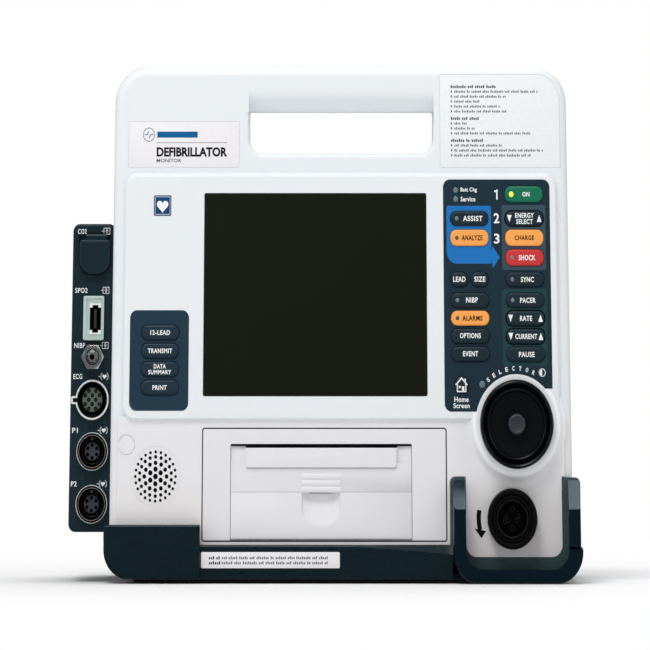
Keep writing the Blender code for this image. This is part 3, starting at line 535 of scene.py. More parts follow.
def rolled(edge, face, steps=5, inward=1):
    """(inset, y) pairs that round a face's rim by edge. Inward is +1 for a front face, -1 for a back one."""
    angles = [math.pi / 2 * i / steps for i in range(steps + 1)]
    rings = [(edge * (1 - math.sin(a)), face + inward * abs(edge) * (1 - math.cos(a))) for a in angles]
    return rings if inward > 0 else rings[::-1]


def skin(name, shape, stations, surface=None):
    """A loft of shape(inset) at each (inset, y) station."""
    return finish(name, loft([at(y, shape(inset)) for inset, y in stations]), surface)


def block(name, box, radii, front, back, surface=None, edge=0.0, back_edge=0.0, steps=8, edge_steps=5):
    """A rounded rectangle extruded along Y, with its front and back rims rounded."""
    stations = rolled(edge, front, edge_steps) if edge else [(0.0, front)]
    stations += rolled(back_edge, back, edge_steps, -1) if back_edge else [(0.0, back)]
    return skin(name, lambda inset: outline(box, radii, inset, steps), stations, surface)


def hollow(box, radii, back, front=AHEAD, steps=8):
    """A block to cut with."""
    return block("cutter", box, radii, front, back, steps=steps)


def cuboid(name, low, high, surface=None):
    bm = bmesh.new()
    bmesh.ops.create_cube(bm, size=1)
    size = Vector(high) - Vector(low)
    bmesh.ops.scale(bm, verts=bm.verts, vec=size)
    bmesh.ops.translate(bm, verts=bm.verts, vec=Vector(low) + size / 2)
    return finish(name, bm, surface)


def turned(name, centre, profile, surface=None, segments=64, ring=False, flutes=0, flute_depth=0.0):
    """A shape turned about Y. The profile's points are (radius, y). Flutes ripple the radius."""
    rings = []
    for radius, y in profile:
        points = []
        for i in range(segments):
            a = 2 * math.pi * i / segments
            r = radius * (1 - flute_depth * (0.5 + 0.5 * math.cos(flutes * a))) if flutes else radius
            points.append((centre[0] + r * math.cos(a), y, centre[1] + r * math.sin(a)))
        rings.append(points)
    return finish(name, loft(rings, ring), surface)


def bore(centre, radius, front=AHEAD, back=BEHIND, segments=64):
    """A round rod to cut with."""
    return turned("cutter", centre, ((radius, front), (radius, back)), segments=segments)


def prism(name, points, front, back, surface=None):
    """A polygon of (x, z) points extruded along Y."""
    return finish(name, loft([at(y, points) for y in (front, back)]), surface)


def side_prism(name, points, left, right, surface=None):
    """A polygon of (y, z) points extruded along X."""
    return finish(name, loft([[(x, y, z) for y, z in points] for x in (left, right)]), surface)


def settle(target):
    """Makes the modifiers' result the object's own mesh."""
    graph = bpy.context.evaluated_depsgraph_get()
    graph.update()
    mesh = bpy.data.meshes.new_from_object(target.evaluated_get(graph))
    target.modifiers.clear()
    target.data = mesh


def combine(target, others, operation):
    for other in others:
        modifier = target.modifiers.new(other.name, "BOOLEAN")
        modifier.operation = operation
        modifier.object = other
    settle(target)
    for other in others:
        bpy.data.objects.remove(other)
    return target


def cut(target, *others):
    return combine(target, others, "DIFFERENCE")


def add(target, *others):
    return combine(target, others, "UNION")


def soften(target, width, segments=3):
    """Rounds every crease by width and evens out the shading."""
    modifier = target.modifiers.new("round", "BEVEL")
    modifier.width = width * MM
    modifier.segments = segments
    modifier.limit_method = "ANGLE"
    modifier.angle_limit = math.radians(32)
    modifier.use_clamp_overlap = True
    modifier.miter_outer = "MITER_ARC"
    settle(target)
    even(target)


def even(target):
    """Flat faces keep a flat shading where they meet rounded ones."""
    target.data.shade_smooth()
    target.modifiers.new("even", "WEIGHTED_NORMAL").keep_sharp = True


def join(name, *parts):
    """Several objects as one, each keeping its materials."""
    bm = bmesh.new()
    surfaces = []
    for part in parts:
        if part.modifiers:
            settle(part)
        start = len(bm.faces)
        bm.from_mesh(part.data)
        bm.faces.ensure_lookup_table()
        for surface in part.data.materials:
            if surface not in surfaces:
                surfaces.append(surface)
        slots = [surfaces.index(surface) for surface in part.data.materials]
        for face in bm.faces[start:]:
            face.material_index = slots[face.material_index]
        bpy.data.objects.remove(part)
    return placed(name, bm, surfaces)


def fit(piece, body, slot, *nodes):
    """Puts a piece on its body and lets it stand for these nodes, hiding them. Its slot is not used."""
    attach(piece, body)
    if nodes:
        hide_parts(*nodes)
    return piece


# Printing: words, lines and shapes as thin ink, gathered by body and ink

INK = {}
INK_THICKNESS = 0.05
INK_SUNK = 0.01


def ink_mesh(body, ink):
    if (body, ink) not in INK:
        INK[body, ink] = bmesh.new()
    return INK[body, ink]


def ink_shape(points, y, ink="white_ink", body=HOUSING):
    """A filled polygon of (x, z) points lying on the plane at y."""
    bm = ink_mesh(body, ink)
    front, back = (
        [bm.verts.new(point) for point in at(y + shift, points)] for shift in (-INK_THICKNESS, INK_SUNK)
    )
    for i in range(len(points)):
        j = (i + 1) % len(points)
        bm.faces.new((front[i], back[i], back[j], front[j]))
    bm.faces.new(front)
    bm.faces.new(back[::-1])


def ink_bar(left, right, bottom, top, y, ink="white_ink", body=HOUSING):
    ink_shape([(left, bottom), (right, bottom), (right, top), (left, top)], y, ink, body)


def ink_stroke(points, width, y, ink="white_ink", body=HOUSING, closed=False):
    """A line of the given width along points, as one band with mitred corners."""
    count = len(points)
    inner, outer = [], []
    for i, point in enumerate(points):
        before = points[i - 1] if i or closed else point
        after = points[(i + 1) % count] if i < count - 1 or closed else point
        into, out = Vector(point) - Vector(before), Vector(after) - Vector(point)
        into = into.normalized() if into.length else out.normalized()
        out = out.normalized() if out.length else into
        along = (into + out).normalized()
        side = Vector((-along.y, along.x)) * width / 2 / max(0.62, along.dot(into))
        inner.append(tuple(Vector(point) + side))
        outer.append(tuple(Vector(point) - side))
    for i in range(count if closed else count - 1):
        j = (i + 1) % count
        ink_shape([outer[i], outer[j], inner[j], inner[i]], y, ink, body)


def ink_frame(box, radii, width, y, ink="white_ink", steps=6):
    ink_stroke(outline(box, radii, 0, steps), width, y, ink, closed=True)


def word_mesh(words, bold, spacing):
    """Words as a flat mesh with a little thickness, in the font's own units."""
    data = bpy.data.curves.new("words", "FONT")
    data.body = words
    data.size = 1.0
    data.offset = bold * 0.5
    data.space_character = spacing
    data.resolution_u = 3
    data.fill_mode = "BOTH"
    data.extrude = 0.01
    text = linked("words", data)
    bpy.context.view_layer.update()
    mesh = bpy.data.meshes.new_from_object(text.evaluated_get(bpy.context.evaluated_depsgraph_get()))
    bpy.data.objects.remove(text)
    return mesh


def ink_words(words, x, z, width, height, y, ink="white_ink", body=HOUSING, bold=0.05, turn=0.0, spacing=1.0):
    """Words whose capitals fill width by height, centred on (x, z). Turn rotates them, in degrees."""
    mesh = word_mesh(words, bold, spacing)
    low, high = ([pick(v.co[i] for v in mesh.vertices) for i in range(3)] for pick in (min, max))
    cos, sin = math.cos(math.radians(turn)), math.sin(math.radians(turn))
    bm = ink_mesh(body, ink)
    start = len(bm.verts)
    bm.from_mesh(mesh)
    bm.verts.ensure_lookup_table()
    for v in bm.verts[start:]:
        a, b, depth = ((v.co[i] - low[i]) / (high[i] - low[i]) for i in range(3))
        a, b = (a - 0.5) * width, (b - 0.5) * height
        depth = y + INK_SUNK - (INK_THICKNESS + INK_SUNK) * depth
        v.co = (x + a * cos - b * sin, depth, z + a * sin + b * cos)
    bpy.data.meshes.remove(mesh)


def ink_heart(x, z, size, y):
    points = []
    for i in range(36):
        t = 2 * math.pi * i / 36
        a = 16 * math.sin(t) ** 3
        b = 13 * math.cos(t) - 5 * math.cos(2 * t) - 2 * math.cos(3 * t) - math.cos(4 * t)
        points.append((x + a * size / 32, z + b * size / 32))
    ink_shape(points, y)


def set_ink():
    """Turns the gathered ink into one piece for each body and ink."""
    for (body, ink), bm in INK.items():
        fit(finish("print_%s_%s" % (body, ink), bm, ink), body, ink_slot(body))


def ink_slot(body):
    return SLOTS.get(body, "right_panel")


# Case shells


def handle_rounding(face, inward, radius):
    """The wedge that leaves the grip bar's lower edge round. Inward is +1 at the front, -1 at the back."""
    bottom, outside = HANDLE_HOLE[3], face - inward * 2
    points = [(outside, bottom + radius), (face, bottom + radius)]
    for i in range(1, 15):
        a = math.pi / 2 * i / 14
        points.append((face + inward * radius * (1 - math.cos(a)), bottom + radius * (1 - math.sin(a))))
    points += [(face + inward * radius, bottom - 8), (outside, bottom - 8)]
    return side_prism("cutter", points, HANDLE_HOLE[0] - 0.8, HANDLE_HOLE[1] + 0.8)


def flared_hole():
    """The grip opening with its front and back rims rolled outwards."""
    stations = [(inset, y - 0.01) for inset, y in rolled(-3.0, CASE_FACE)]
    stations += [(inset, CASE_PARTING - y + CASE_FACE) for inset, y in stations[::-1]]
    flare = stations[0][0]

    def shape(inset):
        points = outline(HANDLE_HOLE, (9.5, 1.5, 1.5, 9.5), inset, 10)
        return [(x, min(z, HANDLE_HOLE[3])) for x, z in points]

    return skin("cutter", shape, [(flare, AHEAD), *stations, (flare, 0.0)])


def platform_shape():
    stations = from_face(CASE_FACE, (-1.6, 1), (-1.5, -0.3), (-0.9, -2.2)) + [(-0.2, PLATFORM_FACE + 1.6)]
    stations += rolled(1.3, PLATFORM_FACE)[::-1]
    return skin("platform", lambda inset: outline(PLATFORM, 9.0, inset, 10), stations)


def dial_boss():
    profile = [(0.5, BOSS_FACE), (29.2, BOSS_FACE)]
    for i in range(1, 7):
        angle = math.radians(52 * i / 6)
        profile.append((29.2 + 3.4 * math.sin(angle), BOSS_FACE + 3.4 * (1 - math.cos(angle))))
    start, end = profile[-1], (36.6, LOWER_FACE - 0.02)
    for i in range(1, 9):
        t = i / 8
        profile.append((start[0] + (end[0] - start[0]) * t, end[1] + (start[1] - end[1]) * (1 - t) ** 2.2))
    profile.append((36.7, CASE_INSIDE))
    return turned("dial_boss", DIAL, profile, segments=96)


def right_outline(name, by, front, back, surface=None, steps=8):
    """The right panel's outline grown by by: a rounded rectangle less the dial's ring and low corner."""
    made = block(name, grown(RIGHT_PANEL, by), 5.0, front, back, surface, steps=steps)
    low = (DIAL[0], front - 5, RIGHT_PANEL[2] - 5)
    corner = cuboid("cutter", low, (RIGHT_PANEL[1] + 5, back + 5, LOW_EDGE - by))
    return cut(made, bore(DIAL, PANEL_BITE - by, front - 5, back + 5, 96), corner)


def lower_front():
    """The lower front's slab, with the tab that runs down between the guard's arms."""
    left, right, bottom, top = CASE[0] + 5, CASE[1] - 5, CASE[2] + 2.3, 100.0
    corner, tab_left, tab_bottom = 4.0, 97.0, APRON[2] - 0.3

    def shape(inset):
        points = arc(left + corner, bottom + corner, corner - inset, 180, 270, 6)
        points += [(tab_left + inset, bottom + inset), (tab_left + inset, tab_bottom)]
        return points + [(right - inset, tab_bottom), (right - inset, top), (left + inset, top)]

    return skin("lower_front", shape, rolled(2.2, LOWER_FACE) + [(0.0, CASE_INSIDE)])


def arm_seats():
    """The U-shaped seat round the guard's arms, which leaves the tab between them."""
    box = (GUARD[0] - 2.2, CASE[1] + 5, CASE[2] - 14, GUARD[3] + 2.2)
    tab = (APRON[0], APRON[1], APRON[2], 90.0)
    return cut(hollow(box, (1.0, 4.0, 4.0, 1.0), CASE_FACE), hollow(tab, APRON_CORNERS, -70, -130, 10))


SPEAKER = (-124.4, 63.6)
GRILLE_RINGS = ((0.0, 1, 1.75), (4.4, 6, 1.62), (8.2, 12, 1.4), (11.8, 18, 1.2), (14.8, 24, 1.0))


def grille_cutter():
    bm = bmesh.new()
    for radius, count, hole in GRILLE_RINGS:
        for i in range(count):
            x, z = around(SPEAKER, radius, 90 + 360 * i / count)
            turn = Matrix.Translation((x, CASE_FACE + 1, z)) @ Matrix.Rotation(math.pi / 2, 4, "X")
            rod = bmesh.ops.create_cone(bm, cap_ends=True, segments=18, radius1=hole, radius2=hole, depth=14)
            bmesh.ops.transform(bm, matrix=turn, verts=rod["verts"])
    return finish("cutter", bm)


def ring_groove(centre, radius, width, face, depth):
    outer = radius + width
    profile = from_face(face, (radius, -2), (outer, -2), (outer, depth), (radius, depth))
    return turned("cutter", centre, profile, ring=True)


def front_case():
    corners = (6.0, CASE_TOP_CORNER, CASE_TOP_CORNER, 6.0)
    shell = block("front_shell", CASE, corners, CASE_FACE, CASE_PARTING, "case", 7.0, 1.2, 14, 9)
    cut(shell, handle_rounding(CASE_FACE, 1, 15.0), handle_rounding(CASE_PARTING, -1, 12.0), flared_hole())
    add(shell, lower_front(), platform_shape(), dial_boss())
    inside = (CASE[0] + 3, CASE[1] - 3, CASE[2] + 3, CAVITY_TOP)
    platform_inside = (PLATFORM[0] + 5, PLATFORM[1] - 5, 105.5, PLATFORM[3] - 5)
    cut(
        shell,
        hollow(inside, (4, 12, 12, 4), CASE_PARTING + 5, CASE_INSIDE, 4),
        hollow(platform_inside, 4, CASE_INSIDE + 1, PLATFORM_FACE + 4, 3),
        hollow(grown(DISPLAY, GAP), 1.3, DISPLAY_BACK + GAP, steps=4),
        hollow(grown(DISPLAY, -3.5), 1.0, -84, steps=2),
        hollow(grown(LEFT_PANEL, GAP), 5.0, PANEL_BACK + GAP),
        hollow(grown(LEFT_PANEL, -2.2), 3.0, -84, steps=3),
        right_outline("cutter", GAP, AHEAD, PANEL_BACK + GAP),
        right_outline("cutter", -2.2, AHEAD, CASE_INSIDE + 1, steps=3),
        hollow(grown(PRINTER, 0.8), 2.0, CASE_FACE, steps=4),
        hollow(grown(PRINTER_TUB, 0.4), 2.0, CASE_INSIDE + 5, steps=2),
        arm_seats(),
        bore(THERAPY, 14.9, AHEAD, -70),
        bore(DIAL, 3.6, AHEAD, -70, 24),
        ring_groove((-146.0, 82.7), 5.8, 0.5, LOWER_FACE, 0.6),
    )
    soften(shell, 0.45)
    shell.modifiers.clear()
    cut(shell, grille_cutter(), ring_groove(SPEAKER, 17.9, 0.3, LOWER_FACE, 0.25))
    paint_boss_light(shell)
    even(shell)
    fit(shell, HOUSING, "white_case", "front_case")


def paint_boss_light(shell):
    """Painted light: the dial's boss takes a brighter copy of the case's white, which also keeps it out of
    the painted shade that greys the face round it.
    """
    shell.data.materials.append(SURFACES["boss_white"])
    for face in shell.data.polygons:
        x, y, z = face.center / MM
        # Faces on the boss's front get the brighter white: painted light.
        on_lit_boss = y < -91.4 and math.hypot(x - DIAL[0], z - DIAL[1]) < 34.4
        face.material_index = int(on_lit_boss)


REAR_LABEL = (-60.0, 60.0, 126.0, 166.0)
REAR_SCREWS = ((-132.0, 214.0), (156.0, 214.0), (-132.0, 40.0), (156.0, 40.0))
SCREW_DEPTH = 2.6
REAR_TOP = 237.0
BATTERIES = ("battery_1", "battery_2")


def rear_case():
    edge = 12.0
    stations = [(REAR_START, 0.6, REAR[3]), (REAR_START + 0.6, 0.0, REAR[3])]
    stations += [(y, inset, REAR_TOP) for inset, y in rolled(edge, REAR_FACE, 9, -1)]
    rings = []
    for y, inset, top in stations:
        rings.append(at(y, outline((*CASE[:3], top), (6, 18, 18, 6), inset, 12)))
    shell = finish("rear_shell", loft(rings), "rear")
    inside = (CASE[0] + 6, CASE[1] - 6, CASE[2] + 6, 230.0)
    cut(shell, hollow(inside, (4, 12, 12, 4), REAR_FACE - 3, REAR_START - 5, 4))
    for name in BATTERIES:
        pack, front, _ = node_box(name)
        well = grown(pack, GAP)
        add(shell, block("well", grown(well, 2.5), 4, front - 2.8, REAR_FACE - 1, steps=4))
        cut(shell, hollow(well, 3, REAR_FACE + 9, front - GAP, 4))
        x, _ = middle(pack)
        scoop = (x - 30, x + 30, pack[3] - 8, pack[3] + 9)
        cut(shell, hollow(scoop, 6, REAR_FACE + 9, REAR_FACE - 2.4, 5))
    screw_wells = (bore(place, 5.2, REAR_FACE - SCREW_DEPTH, REAR_FACE + 6, 40) for place in REAR_SCREWS)
    cut(shell, *vent_cutters(), *screw_wells, hollow(REAR_LABEL, 2, REAR_FACE + 5, REAR_FACE - 0.4))
    soften(shell, 0.5)
    fit(shell, HOUSING, "rear_case", "rear_case")


def vent_cutters():
    for x in (-100, 124):
        for i in range(7):
            z = 206.0 - 6.5 * i
            yield hollow((x - 22, x + 22, z - 1.4, z + 1.4), 1.3, REAR_FACE + 5, REAR_FACE - 8)


def screws():
    """Pan-head screws with a six-sided socket, at the bottom of their wells."""
    base = REAR_FACE - SCREW_DEPTH
    profile = [(0.2, base + 2.0), (2.8, base + 1.9), (3.7, base + 1.5), (4.1, base + 0.8), (4.1, base - 1.0)]
    for i, place in enumerate(REAR_SCREWS, 1):
        head = turned("rear_screw_%d" % i, place, profile, "drawn_steel", 48)
        cut(head, prism("cutter", arc(*place, 1.7, 0, 300, 5), base + 0.3, base + 5))
        fit(head, HOUSING, "nut_steel")


# Base


def base_tray():
    left, right, bottom, top = TRAY
    box = (left, right, bottom, STRIP_TOP)
    tray = block("tray_shell", box, (18.0, 0.5, 0.5, 18.0), TRAY_FRONT, TRAY_BACK, "tray", 1.6, 2.0, 12)
    bumper, corners = (left, -91.3, bottom, top), (0.6, 0.8, 1.2, 24.0)
    add(tray, block("bumper", bumper, corners, BUMPER_FRONT, LOWER_FACE - GAP, edge=1.6, steps=14))
    inside = (left + 4.5, right - 4.5, bottom + 3, STRIP_TOP + 20)
    lip = [(BUMPER_FRONT - 2, top - 1.9), (BUMPER_FRONT + 3.4, top + 1), (BUMPER_FRONT - 2, top + 1)]
    cut(
        tray,
        hollow(inside, (14, 0.5, 0.5, 14), TRAY_BACK - 4, CASE_INSIDE, 6),
        cuboid("cutter", (GUARD[0] - GAP, AHEAD, -1), (right + 5, CASE_INSIDE + 1.5, STRIP_TOP + 1)),
        side_prism("cutter", lip, left - 2, -91.0),
        swept_strip(),
    )
    soften(tray, 0.5)
    fit(tray, HOUSING, "tray_nylon", "base_tray")


def swept_strip():
    """The hollow sweep that thins the strip's upper front from its middle towards the guard."""
    left, right, ahead, above = -20.0, GUARD[0] + 4, TRAY_FRONT - 3, STRIP_TOP + 4
    rings = []
    for i in range(13):
        t = i / 12
        x, y = left + (right - left) * t, TRAY_FRONT + 0.01 + 4.2 * t**1.3
        low = STRIP_TOP - 8.5 * t**1.6 - 2.5
        rings.append([(x, ahead, low), (x, y, STRIP_TOP + 0.1), (x, y, above), (x, ahead, above)])
    return finish("cutter", loft(rings))


def guard():
    """The cable guard: two arms and a rounded floor, standing on a flange let into the case."""
    left, right, _, top = GUARD
    inner_left, inner_right, inner_bottom, above = 103.0, 178.4, 8.4, top + 20
    corners = (19.0, 3.0, 3.0, 18.0)
    shape = block("guard_loop", GUARD, corners, GUARD_FRONT, GUARD_BACK, "guard", 3.6, steps=14)
    slope = [(GUARD_FRONT - 5, top - 22), (GUARD_BACK - 3.5, top + 0.5)]
    slope += [(GUARD_BACK - 3.5, above), (GUARD_FRONT - 5, above)]
    cut(
        shape,
        hollow((inner_left, inner_right, inner_bottom, above), (12.0, 0.5, 0.5, 12.0), -60, -130, 10),
        side_prism("cutter", slope, left - 5, right + 5),
        cuboid("cutter", (inner_right - 1, -130, 20.4), (right + 5, GUARD_BACK - 3, 22.0)),
        cuboid("cutter", (right - 1.6, -130, 21.2), (right + 5, -60, above)),
    )
    soften(shape, 1.8, 5)
    seat = (left - 1.4, right - 1.0, inner_bottom - 3, top + 1.6)
    flange = block("guard_flange", seat, (14, 3.7, 3.7, 14), -88.2, GUARD_BACK, "flange")
    cut(
        flange,
        hollow(grown(APRON, GAP), (7.5, 0.5, 0.5, 7.5), -60, -130),
        cuboid("cutter", (APRON[0] - 1, -130, 55), (APRON[1] + 0.6, -60, above)),
    )
    soften(flange, 0.3, 2)
    fit(join("cable_guard", shape, flange), HOUSING, "guard_nylon", "corner_guard")


def feet():
    for name in ("foot_left", "foot_right"):
        (left, right, bottom, top), front, back = node_box(name)
        pad = cuboid(name + "_pad", (left, front, bottom), (right, back, top), "rubber")
        places = [front + 8 + (back - front - 16) * i / 14 for i in range(15)]
        cut(pad, *(cuboid("cutter", (left + 3, y - 1.2, -1), (right - 3, y + 1.2, 0.5)) for y in places))
        soften(pad, 0.3, 2)
        fit(pad, HOUSING, "foot_rubber", name)


# Display and keys


def display():
    pane = block("display_pane", DISPLAY, 1.2, DISPLAY_FRONT, DISPLAY_BACK, "screen", 0.35, steps=6)
    fit(pane, HOUSING, "display_glass", "display_window")


# The keys that aren't dark: each surface with its keys
KEY_COLOURS = {
    "green_key": ("on",),
    "orange_key": ("charge", "analyze", "alarms"),
    "red_key": ("shock",),
    "left_key": ("twelve_lead", "transmit", "summary", "print"),
}
KEY_SURFACES = {"key_" + key: surface for surface, group in KEY_COLOURS.items() for key in group}
KEYS = sorted(node for node in frame["nodes"] if node.startswith("key_"))
RIGHT_KEYS = [name for name in KEYS if node_box(name)[0][0] > 0]
LEFT_KEYS = [name for name in KEYS if name not in RIGHT_KEYS]
KEY_WING = 0.8
ROCKERS = ("key_energy", "key_rate", "key_current")


def key_face(name):
    """A key's face without its wings, and its front and back."""
    box, front, back = node_box(name)
    if name == "key_home":
        return grown(box, -KEY_WING), front, back
    return (box[0] + KEY_WING, box[1] - KEY_WING, box[2], box[3]), front, back


def key_outline(name, inset):
    box, _, _ = key_face(name)
    if name == "key_home":
        return circle(*middle(box), (box[1] - box[0]) / 2 - inset, 40)
    return outline(box, min(4.5, (box[3] - box[2]) / 2 - 0.05), inset)


def keys():
    for name in KEYS:
        _, front, back = key_face(name)
        crown = ((2.2, 0), (1.3, 0.06), (0.75, 0.2), (0.3, 0.5), (0.06, 0.95), (0.0, 1.4))
        stations = [(inset, front + rise) for inset, rise in crown] + [(0.0, back)]
        surface = KEY_SURFACES.get(name, "dark_key")
        cap = skin(name + "_cap", lambda inset: key_outline(name, inset), stations, surface)
        fit(cap, name, SLOTS[name], name)


def key_holes(of_keys):
    """One cutter that holds the hole of each of these keys."""
    bm = bmesh.new()
    for key in of_keys:
        by = 0.6 if key in ROCKERS else 0.2
        hole = loft([at(y, key_outline(key, -by)) for y in (-110, -60)])
        copy = bpy.data.meshes.new("hole")
        hole.to_mesh(copy)
        hole.free()
        bm.from_mesh(copy)
        bpy.data.meshes.remove(copy)
    return finish("cutter", bm)


def key_panels():
    right = right_outline("right_overlay", 0.0, PANEL_FRONT, PANEL_BACK, "panel", 10)
    corners = (4.0, 4.0, 4.0, 6.0)
    left = block("left_overlay", LEFT_PANEL, corners, PANEL_FRONT, PANEL_BACK, "left_panel", steps=10)
    for side, overlay, of_keys in (("right", right, RIGHT_KEYS), ("left", left, LEFT_KEYS)):
        cut(overlay, key_holes(of_keys))
        soften(overlay, 0.15, 2)
        fit(overlay, HOUSING, side + "_panel", side + "_key_panel")


def panel_zones():
    """Printed areas behind groups of keys: a blue one that points right, a grey one and a green one."""
    plates = {
        "zone_blue": blue_zone(),
        "zone_grey": outline((132.2, 165.0, 189.5, 229.8), 1.6, 0, 6),
        "zone_green": outline((132.0, 165.0, 130.5, 177.9), 1.6, 0, 6),
    }
    for ink, points in plates.items():
        plate = prism("plate_" + ink, points, PANEL_FRONT - 0.04, PANEL_FRONT + 0.02, ink)
        cut(plate, key_holes(RIGHT_KEYS))
        plate.data.shade_flat()
        fit(plate, HOUSING, "right_panel")


def blue_zone():
    left, right, bottom, top = 91.0, 124.3, 193.4, 229.3
    points = [(right, 195.6), (125.4, 190.6), (130.4, 197.3), (125.4, 204.2), (right, 201.4)]
    points += arc(right - 1.2, top - 1.2, 1.2, 0, 90, 5) + arc(left + 1.2, top - 1.2, 1.2, 90, 180, 5)
    return points + arc(left + 7.5, bottom + 7.5, 7.5, 180, 270, 8) + [(right, bottom)]


# Each key's words, with their shift from its centre, width and capital height
KEY_WORDS = {
    "on": (("ON", 1.6, 0.0, 5.4, 3.0),),
    "charge": (("CHARGE", 0.0, 0.0, 14.6, 3.0),),
    "shock": (("SHOCK", 1.8, 0.0, 12.4, 3.3),),
    "sync": (("SYNC", 1.8, 0.0, 9.6, 3.2),),
    "pacer": (("PACER", 2.0, 0.0, 11.6, 3.2),),
    "rate": (("RATE", 0.4, 0.0, 9.0, 3.2),),
    "current": (("CURRENT", 0.4, 0.0, 16.2, 3.2),),
    "pause": (("PAUSE", 0.6, 0.0, 11.6, 3.2),),
    "energy": (("ENERGY", 0.3, 1.9, 14.0, 3.1), ("SELECT", 0.3, -1.9, 12.4, 3.1)),
    "assist": (("ASSIST", 2.6, 0.0, 14.6, 3.3),),
    "analyze": (("ANALYZE", 2.0, 0.0, 15.6, 3.2),),
    "lead": (("LEAD", 0.0, 0.2, 9.2, 3.3),),
    "size": (("SIZE", 0.0, 0.2, 8.2, 3.3),),
    "nibp": (("NIBP", 1.4, 0.2, 8.8, 3.3),),
    "alarms": (("ALARMS", 1.6, 0.0, 15.0, 3.2),),
    "options": (("OPTIONS", 0.0, 0.3, 15.6, 3.2),),
    "event": (("EVENT", 0.0, 0.2, 11.2, 3.2),),
    "twelve_lead": (("12-LEAD", 0.0, 0.0, 14.6, 2.9),),
    "transmit": (("TRANSMIT", 0.0, 0.0, 18.0, 2.9),),
    "summary": (("DATA", 0.0, 1.75, 9.0, 2.7), ("SUMMARY", 0.0, -1.75, 17.0, 2.7)),
    "print": (("PRINT", 0.0, 0.0, 10.6, 2.9),),
}


def key_words():
    """Legends on the keys, each riding on its key."""
    for key, words in KEY_WORDS.items():
        name = "key_" + key
        box, front, _ = key_face(name)
        x, z = middle(box)
        ink = "black_ink" if KEY_SURFACES.get(name) == "orange_key" else "white_ink"
        for text, dx, dz, width, height in words:
            ink_words(text, x + dx, z + dz, width, height, front, ink, name, 0.055, spacing=1.12)
        if name in ROCKERS:
            triangle(x - 11.0, z, -1, front, name)
            triangle(x + 11.2, z, 1, front, name)


def triangle(x, z, up, front, body):
    half, tall = 1.75, 2.2
    points = [(x - half, z - up * tall), (x + half, z - up * tall), (x, z + up * tall)]
    ink_shape(points, front, body=body)


LED_RADIUS = 1.35
LAMP_KEYS = ("on", "shock", "sync", "pacer", "assist", "analyze", "nibp", "alarms")
KEY_LAMPS = {key: "lamp_off" for key in LAMP_KEYS}
KEY_LAMPS.update(on="lamp_on", analyze="lamp_dark", alarms="lamp_dark")
PANEL_LAMPS = {
    "battery": (98.0, 239.1, 1.75),
    "service": (98.0, 233.5, 1.75),
    "selector": (116.4, 119.3, 2.1),
}


def lens(name, x, z, face, surface, body, radius):
    """A small domed indicator lens whose back is sunk in its face."""
    dome = ((0.05, -0.42), (radius * 0.5, -0.36), (radius * 0.85, -0.2), (radius, -0.02), (radius, 0.5))
    made = turned("lamp_" + name, (x, z), from_face(face, *dome), surface, 32)
    fit(made, body, ink_slot(body))


def lamps():
    for key, surface in KEY_LAMPS.items():
        name = "key_" + key
        box, front, _ = key_face(name)
        lens(name, box[0] + 4.9, middle(box)[1], front, surface, name, 1.7 if key == "on" else LED_RADIUS)
    for name, (x, z, radius) in PANEL_LAMPS.items():
        lens(name, x, z, PANEL_FRONT, "lamp_off", HOUSING, radius)


def panel_words():
    y = PANEL_FRONT
    ink_stroke([(127.0, 238.1), (128.9, 238.9), (128.9, 233.2)], 1.1, y - 0.04)
    for text, z in (("2", 221.6), ("3", 208.9)):
        ink_words(text, 128.4, z, 4.2, 6.2, y - 0.04, bold=0.04)
    captions = (("Batt Chg", 107.8, 239.1, 12.2, 3.3), ("Service", 107.2, 233.5, 11.0, 3.0))
    captions += (("Home", 101.0, 110.2, 10.6, 3.3), ("Screen", 101.0, 106.4, 12.0, 3.1))
    for caption in captions:
        ink_words(*caption, y, spacing=1.08)
    for i, letter in enumerate("SELECTOR"):
        angle = 127.5 - 8.6 * i
        ink_words(letter, *around(DIAL, 33.8, angle), 1.9, 2.8, y, bold=0.07, turn=angle - 90)
    contrast_mark(160.8, 126.5, 2.6, y)


def contrast_mark(x, z, radius, y):
    ink_stroke(circle(x, z, radius - 0.25, 40), 0.5, y, closed=True)
    ink_shape(arc(x, z, radius - 0.2, 90, 270, 20), y)


def home_mark():
    """A house outline with a roof, a chimney, a door and a window, on the home key."""
    box, front, _ = key_face("key_home")
    x, z = middle(box)
    z -= 0.4
    roof = [(x - 4.3, z + 0.4), (x, z + 4.6), (x + 4.3, z + 0.4)]
    walls = [(x - 3.1, z + 1.2), (x - 3.1, z - 3.6), (x + 3.1, z - 3.6), (x + 3.1, z + 1.2)]
    ink_stroke(roof, 0.9, front, body="key_home")
    ink_stroke(walls, 0.75, front, body="key_home")
    for left, right, low, high in ((2.2, 3.2, 2.4, 4.4), (0.3, 2.0, -3.4, -0.4), (-2.1, -0.6, -1.5, -0.2)):
        ink_bar(x + left, x + right, z + low, z + high, front, body="key_home")


# Selector dial


